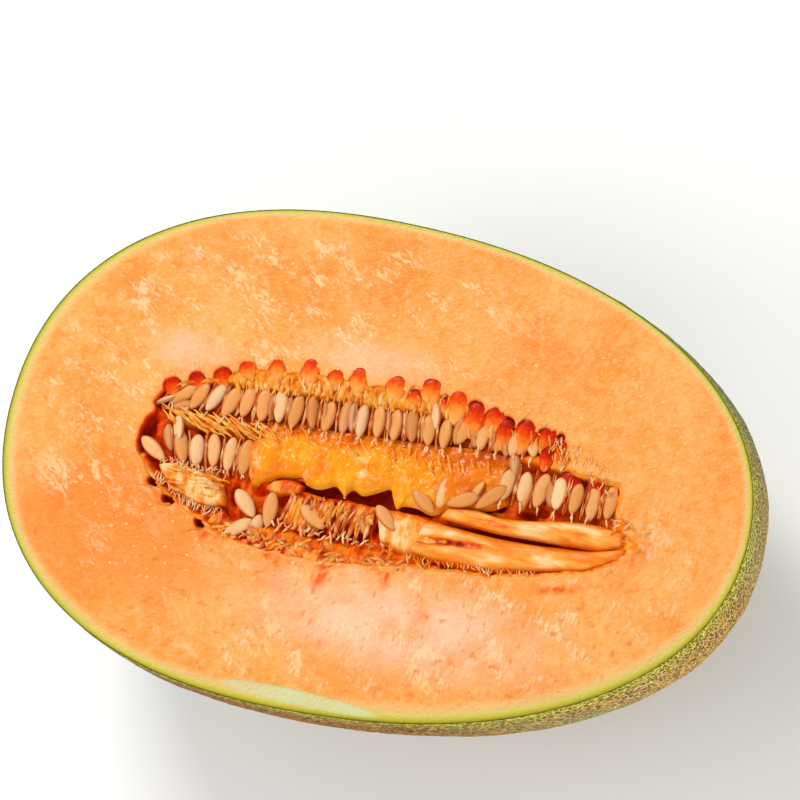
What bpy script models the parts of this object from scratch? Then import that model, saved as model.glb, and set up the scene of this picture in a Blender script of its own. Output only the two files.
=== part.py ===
"""Half of a cantaloupe melon, cut lengthwise and lying on its rind with the seed cavity open upwards.

Metres, +Z up. The fruit's long axis runs along X, with its narrower end at +X. The origin is on the
ground under the middle of the half, and the cut face is level.
"""

import math

import bmesh
import bpy
from mathutils import Matrix, Vector

# The whole fruit, a body turned about its long axis
MELON_LENGTH = 0.248
MELON_DIAMETER = 0.160
MELON_FULLNESS = 2.24  # exponent of the outline: 2 is an ellipse, and more fills out the ends
MELON_TAPER = -0.087  # share of the radius gained towards the +X end, so the fruit is narrower there
CUT_ABOVE_AXIS = 0.0157  # the knife passed above the long axis, so this is the larger half
REST_FLAT_DEPTH = 0.0008  # how far the small flat spot is worn into the rind

# The seed cavity, turned about the same axis and set a little askew
CAVITY_LENGTH = 0.176
CAVITY_DIAMETER = 0.0668
CAVITY_FULLNESS = 2.6
CAVITY_TAPER = -0.09
CAVITY_SHIFT = 0.006  # towards the +X end
CAVITY_TURN = math.radians(-3)

# Scalloped hollows that single seeds leave in the cavity's wall
POCKET_WIDTH = 0.0072
POCKET_LENGTH = 0.0090
POCKET_DEPTH = 0.0110
POCKET_INSET = 0.0012  # from the wall to a pocket's centre, towards the flesh
POCKET_BELOW_CUT = POCKET_DEPTH / 4  # from the cut face down to a pocket's centre

# Seeds
SEED_LENGTH = 0.0108
SEED_WIDTH = 0.0052
SEED_THICKNESS = 0.0022
SEED_POINT = 0.34  # share of the width lost at the pointed end
SEED_SPACING = 0.0008  # clear space between neighbours in a row
SEED_COVER = 0.0007  # from the cut face down to a seed's highest edge

# Pulp that holds the seeds, torn into pieces by the knife
SEAT_GAP = 0.0003  # between pieces that touch
TEAR_GAP = 0.0012
SLIT_WIDTH = 0.0056  # where the tear opens into the hollow core
UPPER_PULP_BELOW_CUT = 0.0024
LEFT_LOBE_BELOW_CUT = 0.0018
LOWER_PULP_BELOW_CUT = 0.0034
STRIPS_BELOW_CUT = 0.0014

# Fineness of the curved surfaces
MELON_STEPS = 56
MELON_RINGS = 26
CAVITY_STEPS = 40
CAVITY_RINGS = 18
SEED_SEGMENTS = 8
SEED_RINGS = 6
POCKET_SEGMENTS = 10
POCKET_RINGS = 6

PAST = 0.01  # how far a cutter runs past what it cuts
POLE_MERGE = 0.0001  # screwed points closer than this at a pole are one
OUTLINE_MERGE = 0.000001  # the same, for an extruded outline


def turned_radius(share, radius, fullness, taper):
    """Radius of a turned body at a share, -1 to 1, of its half length."""
    return radius * (1 - abs(share) ** fullness) ** (1 / fullness) * (1 + taper * share)


def widest(radius, fullness, taper):
    """The largest radius of a tapered body."""
    share = math.copysign(abs(taper) ** (1 / (fullness - 1)), taper)
    return turned_radius(share, radius, fullness, taper)


MELON_BELLY = widest(MELON_DIAMETER / 2, MELON_FULLNESS, MELON_TAPER)
AXIS_HEIGHT = MELON_BELLY - REST_FLAT_DEPTH
CUT_HEIGHT = AXIS_HEIGHT + CUT_ABOVE_AXIS

# The cavity's mouth in the cut face, which the seeds and the tears are placed in
MOUTH_HALF_WIDTH = math.sqrt((CAVITY_DIAMETER / 2) ** 2 - CUT_ABOVE_AXIS**2)
MOUTH_END_SHARE = (1 - (CUT_ABOVE_AXIS / (CAVITY_DIAMETER / 2)) ** CAVITY_FULLNESS) ** (
    1 / CAVITY_FULLNESS
)
MOUTH_HALF_LENGTH = CAVITY_LENGTH / 2 * MOUTH_END_SHARE

# Rows of seeds: how many, then the first and the last seed's place in the mouth, -1 to 1 along it
# and across it, then their lean in degrees, anticlockwise from square to the fruit's length, and how
# soon the first seed's lean fades along the row: evenly at 1, and sooner the higher it is.
SEED_ROWS = {
    "upper_row": (17, (-0.867, 0.285), (0.193, 0.545), -45, 7, 6),
    "pocket_row": (7, (0.265, 0.640), (0.655, 0.690), -10, 14, 6),
    "right_row": (7, (0.476, 0.180), (0.873, 0.235), -6, -2, 6),
    "left_row": (5, (-0.807, -0.270), (-0.542, -0.234), 22, 2, 1),
}

# Loose seeds: the pile's place in the mouth, then each seed's place from there in seed lengths,
# its lean, its tilt about its own length, and how much deeper than a row it lies, in thicknesses.
SEED_PILES = {
    "end_seed": ((-0.915, -0.372), [(0.0, 0.0, 58, 12, 0.2)]),
    "core_pile": (
        (0.245, -0.120),
        [
            (-0.42, -0.26, 48, 10, 0.0),
            (0.10, 0.12, -4, 20, 1.5),
            (0.70, -0.02, -64, 25, 0.0),
            (1.46, 0.28, -46, 15, 1.5),
        ],
    ),
    "torn_pile": (
        (-0.475, -0.790),
        [
            (-0.06, 0.16, 44, 15, 0.6),
            (-0.12, -0.50, -50, 10, 1.9),
            (0.72, 0.12, 4, 55, 0.6),
        ],
    ),
    "lower_seed": ((-0.210, -0.665), [(0.0, 0.0, 52, 20, 0.4)]),
    "slit_seed": ((0.066, -0.480), [(0.0, 0.0, 54, 15, 0.4)]),
}

# Edge of the long tear in the pulp, as places in the mouth
TEAR_EDGE = [
    (-1.30, -0.475),
    (-0.80, -0.475),
    (-0.57, -0.490),
    (-0.43, -0.390),
    (-0.31, -0.320),
    (0.10, -0.275),
    (0.25, -0.200),
    (0.30, -0.125),
    (0.65, -0.060),
    (1.30, 0.010),
]
SLIT_FROM, SLIT_TO = -0.31, 0.10
LEFT_TEAR = -0.58
RIGHT_TEAR = 0.22
STRIP_TEAR = ((0.22, -0.375), (1.30, -0.180))
PAST_MOUTH = 1.5  # outlines run past the mouth, and the cavity's wall trims them

# Pockets along the mouth's edge: first and last place along it, how many, and which side
POCKET_ROWS = {"upper": (-0.86, 0.74, 16, 1), "lower": (-0.84, -0.50, 4, -1)}


def clear_scene():
    for old in list(bpy.data.objects):
        bpy.data.objects.remove(old, do_unlink=True)


def collection_named(name, hidden=False):
    made = bpy.data.collections.new(name)
    bpy.context.scene.collection.children.link(made)
    made.hide_render = hidden
    return made


def plain_material(name, colour, roughness):
    made = bpy.data.materials.new(name)
    made.use_nodes = True
    shader = made.node_tree.nodes["Principled BSDF"]
    shader.inputs["Base Color"].default_value = (*colour, 1)
    shader.inputs["Roughness"].default_value = roughness
    shader.inputs["Metallic"].default_value = 0
    made.diffuse_color = (*colour, 1)
    return made


def put(name, mesh, where, matrix=None, material=None):
    """Links a mesh as an object. Anything in the cutters' collection stays out of the render."""
    made = bpy.data.objects.new(name, mesh)
    made.matrix_world = matrix or Matrix.Identity(4)
    where.objects.link(made)
    if where.hide_render:
        made.hide_render = True
        made.display_type = "WIRE"
    if material:
        mesh.materials.append(material)
    return made


def boolean(target, operation, other):
    """Cuts target by, or trims it to, an object or a whole collection of them."""
    modifier = target.modifiers.new(operation.title(), "BOOLEAN")
    modifier.operation = operation
    modifier.solver = "EXACT"
    if isinstance(other, bpy.types.Collection):
        modifier.operand_type = "COLLECTION"
        modifier.collection = other
    else:
        modifier.object = other


def turned_body(name, where, half_length, radius, fullness, taper, rings, steps, matrix):
    """A profile from the far end to the near one, screwed about the local Z axis, which becomes X."""
    shape = bmesh.new()
    last = None
    for ring in range(rings + 1):
        angle = math.pi / 2 - math.pi * ring / rings
        share = math.copysign(abs(math.sin(angle)) ** (2 / fullness), math.sin(angle))
        ends = ring in (0, rings)
        across = 0 if ends else turned_radius(share, radius, fullness, taper)
        point = shape.verts.new((across, 0, share * half_length))
        if last:
            shape.edges.new((last, point))
        last = point
    mesh = bpy.data.meshes.new(name)
    shape.to_mesh(mesh)
    shape.free()
    made = put(name, mesh, where, matrix @ Matrix.Rotation(math.pi / 2, 4, "Y"))
    screw = made.modifiers.new("Turn", "SCREW")
    screw.axis = "Z"
    screw.steps = steps
    screw.render_steps = steps
    screw.use_merge_vertices = True
    screw.merge_threshold = POLE_MERGE
    screw.use_smooth_shade = True
    return made


def box_between(name, where, low, high):
    low, high = Vector(low), Vector(high)
    shape = bmesh.new()
    bmesh.ops.create_cube(shape, size=1)
    size = high - low
    bmesh.ops.scale(shape, vec=size, verts=shape.verts)
    bmesh.ops.translate(shape, vec=(low + high) / 2, verts=shape.verts)
    mesh = bpy.data.meshes.new(name)
    shape.to_mesh(mesh)
    shape.free()
    return put(name, mesh, where)


def egg_mesh(name, length, width, thickness, point, segments, rings):
    """A flattened ball along Y, drawn in towards its -Y end."""
    shape = bmesh.new()
    bmesh.ops.create_uvsphere(shape, u_segments=segments, v_segments=rings, radius=1)
    bmesh.ops.rotate(shape, verts=shape.verts, matrix=Matrix.Rotation(math.pi / 2, 3, "X"))
    for vertex in shape.verts:
        drawn_in = 1 - point * max(0, -vertex.co.y)
        vertex.co.x *= width / 2 * drawn_in
        vertex.co.z *= thickness / 2
        vertex.co.y *= length / 2
    mesh = bpy.data.meshes.new(name)
    shape.to_mesh(mesh)
    shape.free()
    mesh.shade_smooth()
    return mesh


def prism(name, where, outline, low, high):
    """An outline filled and extruded between two heights."""
    curve = bpy.data.curves.new(name, "CURVE")
    curve.dimensions = "2D"
    curve.fill_mode = "BOTH"
    curve.extrude = (high - low) / 2
    spline = curve.splines.new("POLY")
    spline.points.add(len(outline) - 1)
    for point, (x, y) in zip(spline.points, outline):
        point.co = (x, y, 0, 1)
    spline.use_cyclic_u = True
    drawn = bpy.data.objects.new(name + "_outline", curve)
    drawn.location.z = (low + high) / 2
    bpy.context.scene.collection.objects.link(drawn)
    bpy.context.view_layer.update()
    graph = bpy.context.evaluated_depsgraph_get()
    mesh = bpy.data.meshes.new_from_object(drawn.evaluated_get(graph))
    shape = bmesh.new()
    shape.from_mesh(mesh)
    bmesh.ops.remove_doubles(shape, verts=shape.verts, dist=OUTLINE_MERGE)
    bmesh.ops.recalc_face_normals(shape, faces=shape.faces)
    shape.to_mesh(mesh)
    shape.free()
    made = put(name, mesh, where, drawn.matrix_world.copy())
    bpy.data.objects.remove(drawn)
    return made


def in_mouth(along, across):
    """The point of the cut face at a place in the cavity's mouth."""
    local = Vector((along * MOUTH_HALF_LENGTH, across * MOUTH_HALF_WIDTH, 0))
    turned = Matrix.Rotation(CAVITY_TURN, 3, "Z") @ local
    return turned + Vector((CAVITY_SHIFT, 0, CUT_HEIGHT))


def mouth_edge(along):
    """How far across the mouth its wall lies at a place along it, -1 to 1."""
    share = along * MOUTH_END_SHARE
    size = (CAVITY_DIAMETER / 2, CAVITY_FULLNESS, CAVITY_TAPER)
    radius = turned_radius(share, *size)
    return math.sqrt(max(radius**2 - CUT_ABOVE_AXIS**2, 0)) / MOUTH_HALF_WIDTH


def fan_for(pitch):
    """How far a seed turns about its own length so that its neighbours clear it."""
    half_room = max((pitch - SEED_SPACING) / 2, SEED_THICKNESS / 2)
    wide, thick = SEED_WIDTH / 2, SEED_THICKNESS / 2
    flatness = (half_room**2 - thick**2) / (wide**2 - thick**2)
    return math.acos(math.sqrt(min(flatness, 1)))


def seed_matrix(place, lean, fan, deeper=0.0):
    rise = math.hypot(SEED_WIDTH / 2 * math.sin(fan), SEED_THICKNESS / 2 * math.cos(fan))
    sunk = place - Vector((0, 0, SEED_COVER + rise + deeper * SEED_THICKNESS))
    lean_turn = Matrix.Rotation(lean, 4, "Z")
    return Matrix.Translation(sunk) @ lean_turn @ Matrix.Rotation(fan, 4, "Y")


def seed_places():
    """Every seed's name and matrix."""
    places = {}
    for name, (count, first, last, first_lean, last_lean, fading) in SEED_ROWS.items():
        start, end = in_mouth(*first), in_mouth(*last)
        fan = fan_for((end - start).length / (count - 1))
        for i in range(count):
            share = i / (count - 1)
            lean = first_lean * (1 - share) ** fading + last_lean * share
            place = start.lerp(end, share)
            places[f"seed_{name}_{i + 1:02d}"] = seed_matrix(place, math.radians(lean), fan)
    for name, (centre, seeds) in SEED_PILES.items():
        for i, (dx, dy, lean, tilt, deeper) in enumerate(seeds):
            place = in_mouth(*centre) + SEED_LENGTH * Vector((dx, dy, 0))
            angles = (math.radians(lean), math.radians(tilt))
            places[f"seed_{name}_{i + 1:02d}"] = seed_matrix(place, *angles, deeper)
    return places


def tear_below(edge):
    """The lower side of the long tear, which is wider where it opens as a slit."""
    lowered = []
    for along, across in edge:
        gap = SLIT_WIDTH if SLIT_FROM <= along <= SLIT_TO else TEAR_GAP
        lowered.append((along, across - gap / MOUTH_HALF_WIDTH))
    return lowered


def edge_between(edge, low, high):
    """The part of an edge between two places along the mouth, with points at both ends."""

    def at(along):
        for (x0, y0), (x1, y1) in zip(edge, edge[1:]):
            if x0 <= along <= x1:
                return (along, y0 + (y1 - y0) * (along - x0) / (x1 - x0))
        return edge[-1]

    inside = [point for point in edge if low < point[0] < high]
    return [at(low), *inside, at(high)]


def pulp_outlines():
    """Each pulp piece's outline in the mouth and how far its top lies below the cut."""
    lower_edge = tear_below(TEAR_EDGE)
    half_gap = TEAR_GAP / MOUTH_HALF_LENGTH / 2
    strip_drop = TEAR_GAP / MOUTH_HALF_WIDTH
    (tear_x0, tear_y0), (tear_x1, tear_y1) = STRIP_TEAR
    tear_x0 += half_gap
    far, low = TEAR_EDGE[-1][0], -PAST_MOUTH
    return {
        "upper_pulp": (
            [*TEAR_EDGE, (far, PAST_MOUTH), (-far, PAST_MOUTH)],
            UPPER_PULP_BELOW_CUT,
        ),
        "left_pulp_lobe": (
            [
                *edge_between(lower_edge, -far, LEFT_TEAR - half_gap),
                (LEFT_TEAR - half_gap, low),
                (-far, low),
            ],
            LEFT_LOBE_BELOW_CUT,
        ),
        "lower_pulp": (
            [
                *edge_between(lower_edge, LEFT_TEAR + half_gap, RIGHT_TEAR - half_gap),
                (RIGHT_TEAR - half_gap, low),
                (LEFT_TEAR + half_gap, low),
            ],
            LOWER_PULP_BELOW_CUT,
        ),
        "upper_pulp_strip": (
            [*edge_between(lower_edge, tear_x0, far), (tear_x1, tear_y1), (tear_x0, tear_y0)],
            STRIPS_BELOW_CUT,
        ),
        "lower_pulp_strip": (
            [
                (tear_x0, tear_y0 - strip_drop),
                (tear_x1, tear_y1 - strip_drop),
                (far, low),
                (tear_x0, low),
            ],
            STRIPS_BELOW_CUT,
        ),
    }


def build():
    clear_scene()
    parts = collection_named("cantaloupe_half")
    cutters = collection_named("cutters", hidden=True)
    seed_cutters = collection_named("seed_seats", hidden=True)
    pocket_cutters = collection_named("pockets", hidden=True)

    flesh = plain_material("orange_flesh", (1.0, 0.42, 0.09), 0.35)
    pulp = plain_material("jelly_pulp", (0.95, 0.30, 0.02), 0.25)
    seed_coat = plain_material("seed_coat", (0.80, 0.55, 0.27), 0.4)

    # The cavity's own frame, on the fruit's axis
    on_axis = Matrix.Translation((0, 0, AXIS_HEIGHT))
    in_cavity = Matrix.Translation((CAVITY_SHIFT, 0, AXIS_HEIGHT)) @ Matrix.Rotation(CAVITY_TURN, 4, "Z")
    cavity_outline = (CAVITY_FULLNESS, CAVITY_TAPER, CAVITY_RINGS, CAVITY_STEPS)

    half = turned_body(
        "melon_half",
        parts,
        MELON_LENGTH / 2,
        MELON_DIAMETER / 2,
        MELON_FULLNESS,
        MELON_TAPER,
        MELON_RINGS,
        MELON_STEPS,
        on_axis,
    )
    half.data.materials.append(flesh)
    reach = MELON_LENGTH / 2 + PAST
    wide = MELON_BELLY + PAST
    above = CUT_HEIGHT + MELON_DIAMETER
    knife = box_between("knife", cutters, (-reach, -wide, CUT_HEIGHT), (reach, wide, above))
    ground = box_between("ground", cutters, (-reach, -wide, -PAST), (reach, wide, 0))
    cavity = turned_body(
        "cavity", cutters, CAVITY_LENGTH / 2, CAVITY_DIAMETER / 2, *cavity_outline, in_cavity
    )

    pocket_mesh = egg_mesh(
        "pocket", POCKET_LENGTH, POCKET_WIDTH, POCKET_DEPTH, 0, POCKET_SEGMENTS, POCKET_RINGS
    )
    for side, (first, last, count, sign) in POCKET_ROWS.items():
        for i in range(count):
            along = first + (last - first) * i / (count - 1)
            across = sign * (mouth_edge(along) + POCKET_INSET / MOUTH_HALF_WIDTH)
            place = in_mouth(along, across) - Vector((0, 0, POCKET_BELOW_CUT))
            put(f"pocket_{side}_{i + 1:02d}", pocket_mesh, pocket_cutters, Matrix.Translation(place))

    seed_mesh = egg_mesh(
        "seed", SEED_LENGTH, SEED_WIDTH, SEED_THICKNESS, SEED_POINT, SEED_SEGMENTS, SEED_RINGS
    )
    seed_mesh.materials.append(seed_coat)
    grown = [size + 2 * SEAT_GAP for size in (SEED_LENGTH, SEED_WIDTH, SEED_THICKNESS)]
    seat_mesh = egg_mesh("seat", *grown, SEED_POINT, SEED_SEGMENTS, SEED_RINGS)
    for name, matrix in seed_places().items():
        put(name, seed_mesh, parts, matrix)
        put(name.replace("seed", "seat", 1), seat_mesh, seed_cutters, matrix)

    for other in (knife, ground, cavity, pocket_cutters, seed_cutters):
        boolean(half, "DIFFERENCE", other)

    mould = turned_body(
        "pulp_mould",
        cutters,
        CAVITY_LENGTH / 2 - SEAT_GAP,
        CAVITY_DIAMETER / 2 - SEAT_GAP,
        *cavity_outline,
        in_cavity,
    )
    for name, (outline, below_cut) in pulp_outlines().items():
        plan = [in_mouth(*point).to_2d() for point in outline]
        floor = AXIS_HEIGHT - CAVITY_DIAMETER / 2 - PAST
        piece = prism(name, parts, plan, floor, CUT_HEIGHT - below_cut)
        piece.data.materials.append(pulp)
        boolean(piece, "INTERSECT", mould)
        boolean(piece, "DIFFERENCE", seed_cutters)


build()
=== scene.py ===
# %% [markdown]
# # A cut cantaloupe melon
#
# A half melon is a good subject for learning procedural work, because almost everything in it
# repeats with small changes: a net of cork on the rind, flecks of juice on the flesh, rows of seeds
# and threads of pulp. The solid model gives the sizes and the place of every seed. This file adds
# the fine shapes and the finishes, one piece at a time, and lights the result.

# %% Load the solid model
import math

import bmesh
import bpy
import numpy as np
from mathutils import Matrix, Vector
from mathutils.kdtree import KDTree


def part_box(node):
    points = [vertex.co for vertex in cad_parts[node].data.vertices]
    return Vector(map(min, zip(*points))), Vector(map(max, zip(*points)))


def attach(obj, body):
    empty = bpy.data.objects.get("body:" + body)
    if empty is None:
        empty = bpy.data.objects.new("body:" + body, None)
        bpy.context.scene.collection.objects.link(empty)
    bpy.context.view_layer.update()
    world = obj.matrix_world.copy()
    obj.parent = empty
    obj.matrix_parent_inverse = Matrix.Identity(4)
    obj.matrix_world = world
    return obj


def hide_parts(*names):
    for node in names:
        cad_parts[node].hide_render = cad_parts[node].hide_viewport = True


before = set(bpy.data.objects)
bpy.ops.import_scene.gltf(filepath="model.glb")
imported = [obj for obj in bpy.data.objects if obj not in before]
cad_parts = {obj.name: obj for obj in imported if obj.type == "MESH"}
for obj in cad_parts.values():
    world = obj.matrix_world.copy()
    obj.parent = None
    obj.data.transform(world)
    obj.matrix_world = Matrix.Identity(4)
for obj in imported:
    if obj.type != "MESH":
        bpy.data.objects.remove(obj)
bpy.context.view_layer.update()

# %% [markdown]
# ## Working in millimetres on the cut face
#
# The shapes below are easiest to think of as drawn on the cut face. So every point is written in
# millimetres, with x along the fruit, y across it and z up from the cut, and is only turned into
# metres when its mesh is made. The fruit's own outline is a superellipse turned about the long
# axis: an exponent of 2 would be an ellipse, and a little more fills out the ends.

# %% Sizes taken from the solid model
_, half_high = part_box("melon_half")
CUT_HEIGHT = half_high.z * 1000
HALF_LENGTH = half_high.x * 1000
BELLY = half_high.y * 1000
# The knife passed this far above the long axis, so the half is a little more than half the fruit.
CUT_ABOVE_AXIS = 15.7
AXIS = -CUT_ABOVE_AXIS
FULLNESS, TAPER = 2.24, -0.087
belly_share = -(abs(TAPER) ** (1 / (FULLNESS - 1)))
RADIUS = BELLY / ((1 - abs(belly_share) ** FULLNESS) ** (1 / FULLNESS) * (1 + TAPER * belly_share))
print(f"radius {RADIUS:.1f} mm, cut at {CUT_HEIGHT:.1f} mm")


# %% Smooth noise, smooth steps and smooth paths
def waves(x, y, size, seed, octaves=3):
    """Seeded value noise, about -1 to 1, with features about size across."""
    table = np.random.default_rng(seed).uniform(-1, 1, (64, 64))
    total, weight = 0.0, 1.0
    for octave in range(octaves):
        u, v = np.asarray(x) / size * 2**octave, np.asarray(y) / size * 2**octave
        i, j = np.floor(u).astype(int), np.floor(v).astype(int)
        s, t = u - i, v - j
        s, t = s * s * (3 - 2 * s), t * t * (3 - 2 * t)
        corner = [[table[(i + a) % 64, (j + b) % 64] for b in (0, 1)] for a in (0, 1)]
        near = corner[0][0] * (1 - t) + corner[0][1] * t
        far = corner[1][0] * (1 - t) + corner[1][1] * t
        total = total + weight * (near * (1 - s) + far * s)
        weight *= 0.5
    return total


def ease(value, low, high):
    """0 below low, 1 above high, and smooth between."""
    share = np.clip((np.asarray(value, float) - low) / (high - low), 0, 1)
    return share * share * (3 - 2 * share)


def route(points, count):
    """A smooth path of count points through a few chosen ones."""
    p = np.asarray(points, float)
    ends = np.vstack([2 * p[0] - p[1], p, 2 * p[-1] - p[-2]])
    t = np.linspace(0, len(p) - 1 - 1e-9, count)
    i = t.astype(int)
    f = (t - i)[:, None]
    a, b, c, d = (ends[i + k] for k in range(4))
    bend = (2 * a - 5 * b + 4 * c - d) * f**2 + (3 * b - a - 3 * c + d) * f**3
    return 0.5 * (2 * b + (c - a) * f + bend)


print("noise at three places", waves([0, 3, 9], [0, 1, 2], 4.0, 1).round(2))


# %% Meshes from grids of points
def woven(points, closed=False):
    """The points and quads of a grid, rows by columns. Closed joins its last column to its first."""
    rows, cols = points.shape[:2]
    index = np.arange(rows * cols).reshape(rows, cols)
    left = index if closed else index[:, :-1]
    right = np.roll(index, -1, 1) if closed else index[:, 1:]
    quads = np.stack([left[:-1], right[:-1], right[1:], left[1:]], -1)
    return points.reshape(-1, 3), quads.reshape(-1, 4).tolist()


def make(name, shapes, material, tints=None, **attributes):
    """Joins shapes into one piece on the fruit's body, in metres, with its attributes."""
    points = np.vstack([shape[0] for shape in shapes])
    faces, start = [], 0
    for shape in shapes:
        faces += [[start + corner for corner in face] for face in shape[1]]
        start += len(shape[0])
    if tints is not None:
        attributes["tint"] = np.repeat(tints, [len(shape[0]) for shape in shapes])
    points = points * 0.001 + np.array([0, 0, CUT_HEIGHT * 0.001])
    mesh = bpy.data.meshes.new(name)
    mesh.from_pydata(points.tolist(), [], faces)
    for key, values in attributes.items():
        layer = mesh.attributes.new(key, "FLOAT", "POINT")
        layer.data.foreach_set("value", np.asarray(values, np.float32).ravel())
    mesh.shade_smooth()
    mesh.materials.append(material)
    piece = bpy.data.objects.new(name, mesh)
    bpy.context.scene.collection.objects.link(piece)
    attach(piece, "root")
    triangles = sum(len(face) - 2 for face in faces)
    print(f"{name}: {len(points)} points, {triangles} triangles")
    return piece


# %% [markdown]
# ## Materials as small node trees
#
# Every finish here is a Principled shader with a pattern behind its colour and its bump. One helper
# adds a node, sets it up and links it, so a tree reads from top to bottom like a recipe. Colours are
# written as the hex values a painter would pick on a screen and turned into linear light once.


# %% A node helper and a colour helper
def paint(hex_colour):
    """A screen colour such as #FBAA54 as linear red, green, blue and alpha."""
    channels = [int(hex_colour[i : i + 2], 16) / 255 for i in (1, 3, 5)]
    return (*[c / 12.92 if c <= 0.04045 else ((c + 0.055) / 1.055) ** 2.4 for c in channels], 1.0)


def add(tree, kind, inputs=None, stops=None, **settings):
    """Adds a node with its settings, and gives each input a value or a link."""
    made = tree.nodes.new(kind)
    for key, value in settings.items():
        setattr(made, key, value)
    if stops:
        ramp = made.color_ramp.elements
        while len(ramp) < len(stops):
            ramp.new(1.0)
        for element, (place, colour) in zip(ramp, stops):
            element.position = place
            element.color = colour if isinstance(colour, tuple) else paint(colour)
    for key, value in (inputs or {}).items():
        if isinstance(value, bpy.types.NodeSocket):
            tree.links.new(value, made.inputs[key])
        else:
            made.inputs[key].default_value = value
    return made


def start_material(name, roughness, ior=1.38, soft=0.0, soft_mm=(3.0, 1.2, 0.5), wet=0.0, sheen=0.25):
    """A moist plant tissue: water in cells gives an IOR near 1.38, and light soaks into it."""
    material = bpy.data.materials.new(name)
    material.use_nodes = True
    tree = material.node_tree
    shader = tree.nodes["Principled BSDF"]
    shader.inputs["Roughness"].default_value = roughness
    shader.inputs["IOR"].default_value = ior
    shader.inputs["Metallic"].default_value = 0.0
    shader.inputs["Specular IOR Level"].default_value = sheen
    shader.inputs["Subsurface Weight"].default_value = soft
    shader.inputs["Subsurface Radius"].default_value = [r * 0.001 for r in soft_mm]
    shader.inputs["Subsurface Scale"].default_value = 1.0
    shader.inputs["Coat Weight"].default_value = wet
    shader.inputs["Coat Roughness"].default_value = 0.08
    shader.inputs["Coat IOR"].default_value = 1.33
    where = add(tree, "ShaderNodeTexCoord").outputs["Object"]
    return material, tree, shader, where


def mm(size, stretch=(1, 1, 1)):
    """A mapping's scale for a pattern that is size millimetres wide, drawn out by stretch."""
    return [size * 0.001 * longer for longer in stretch]


print("orange flesh in linear light", [round(c, 3) for c in paint("#FBAA54")])

# %% [markdown]
# ## The rind
#
# The skin is dark green under a net of pale cork, which grows where the skin cracks as the fruit
# swells. The cracks are fine, about 1.5 mm apart, and drawn out along the fruit. On the side that
# lay on the ground the green turns to a golden brown. The surface is found by sending rays from the
# middle of the cut face down to the superellipse, so that it meets the cut exactly.


# %% Rays from the middle of the cut to the skin
def outside(points):
    """Above 1 outside the fruit and below 1 inside it."""
    x, y, z = points[..., 0], points[..., 1], points[..., 2] - AXIS
    share = x / HALF_LENGTH
    around = np.hypot(y, z) / (RADIUS * np.maximum(1 + TAPER * share, 0.1))
    return np.abs(share) ** FULLNESS + around**FULLNESS


def skin_points(directions):
    """Where rays from the middle of the cut leave the fruit, found by halving."""
    near = np.zeros(directions.shape[:-1])
    far = near + 200.0
    for _ in range(34):
        middle = (near + far) / 2
        out = outside(directions * middle[..., None]) > 1
        far, near = np.where(out, middle, far), np.where(out, near, middle)
    return directions * near[..., None]


# Columns round the fruit and rows from the cut to its lowest point.
AROUND, DOWN = 720, 128
angle = np.linspace(0, 2 * math.pi, AROUND, endpoint=False)
dip = np.linspace(0, math.pi / 2, DOWN + 1)[:-1]
rays = np.stack(
    [np.outer(np.cos(dip), np.cos(angle)), np.outer(np.cos(dip), np.sin(angle)),
     -np.sin(dip)[:, None] + 0 * angle], -1
)
skin = skin_points(rays)
print("deepest point below the cut", skin[..., 2].min().round(1))

# %% Swell the skin a little where the cork is thick
# Near the cut the swelling fades out, so that the skin still meets the face in a clean line.
swelling = 0.2 * waves(skin[..., 0], skin[..., 1] * 2, 17.0, 11, 2)
swelling += 0.16 * waves(skin[..., 0] * 0.5, skin[..., 1] + skin[..., 2], 1.6, 12, 2)
fade_at_cut = ease(-skin[..., 2], 0.0, 2.0)[..., None]
away = skin - np.array([0, 0, AXIS])
away[..., 0] *= 0.4
away /= np.linalg.norm(away, axis=-1)[..., None]
skin = skin + away * (swelling[..., None] - 0.25) * fade_at_cut
skin[..., 2] = np.maximum(skin[..., 2], -CUT_HEIGHT)
skin_shape = woven(skin[::-1], closed=True)
lowest_row = list(range(AROUND))
skin_shape[1].append(lowest_row[::-1])
below_cut = -skin[::-1][..., 2]
print("swelling from", swelling.min().round(2), "to", swelling.max().round(2), "mm")

# %% [markdown]
# ## The finish of the rind
#
# Netted rind is waxy skin under dry cork. The cork scatters light and hides the wax, so the rind
# looks matt, and only its relief catches the light. The net could be drawn as curves, but it has
# thousands of meshes, so a Voronoi pattern gives their edges and a fine noise breaks them up. Both
# are drawn out along the fruit, and a slow noise makes the cracks wander by BEND_MM.

# %% Rind finish: cork net over green skin
BEND_MM = 1.6
rind_finish, tree, shader, where = start_material("netted_rind", 0.6, ior=1.45, sheen=0.08)
warp_place = add(
    tree, "ShaderNodeMapping", {"Vector": where, "Scale": mm(5.0)}, vector_type="TEXTURE"
).outputs[0]
warp = add(tree, "ShaderNodeTexNoise", {"Vector": warp_place, "Scale": 1.0, "Detail": 2.0})
bent = add(
    tree,
    "ShaderNodeVectorMath",
    {0: warp.outputs["Color"], 1: [BEND_MM * 0.001] * 3},
    operation="MULTIPLY",
)
moved = add(tree, "ShaderNodeVectorMath", {0: where, 1: bent.outputs[0]}, operation="ADD").outputs[0]
net_place = add(
    tree, "ShaderNodeMapping", {"Vector": moved, "Scale": mm(1.2, (2.2, 1, 1))}, vector_type="TEXTURE"
).outputs[0]
net = add(
    tree,
    "ShaderNodeTexVoronoi",
    {"Vector": net_place, "Scale": 1.0, "Randomness": 1.0},
    feature="DISTANCE_TO_EDGE",
).outputs["Distance"]
fine_net_place = add(
    tree, "ShaderNodeMapping", {"Vector": moved, "Scale": mm(0.9, (2.6, 1, 1))}, vector_type="TEXTURE"
).outputs[0]
fine_net = add(
    tree,
    "ShaderNodeTexNoise",
    {"Vector": fine_net_place, "Scale": 1.0, "Detail": 3.0, "Roughness": 0.6},
).outputs["Fac"]
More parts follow.
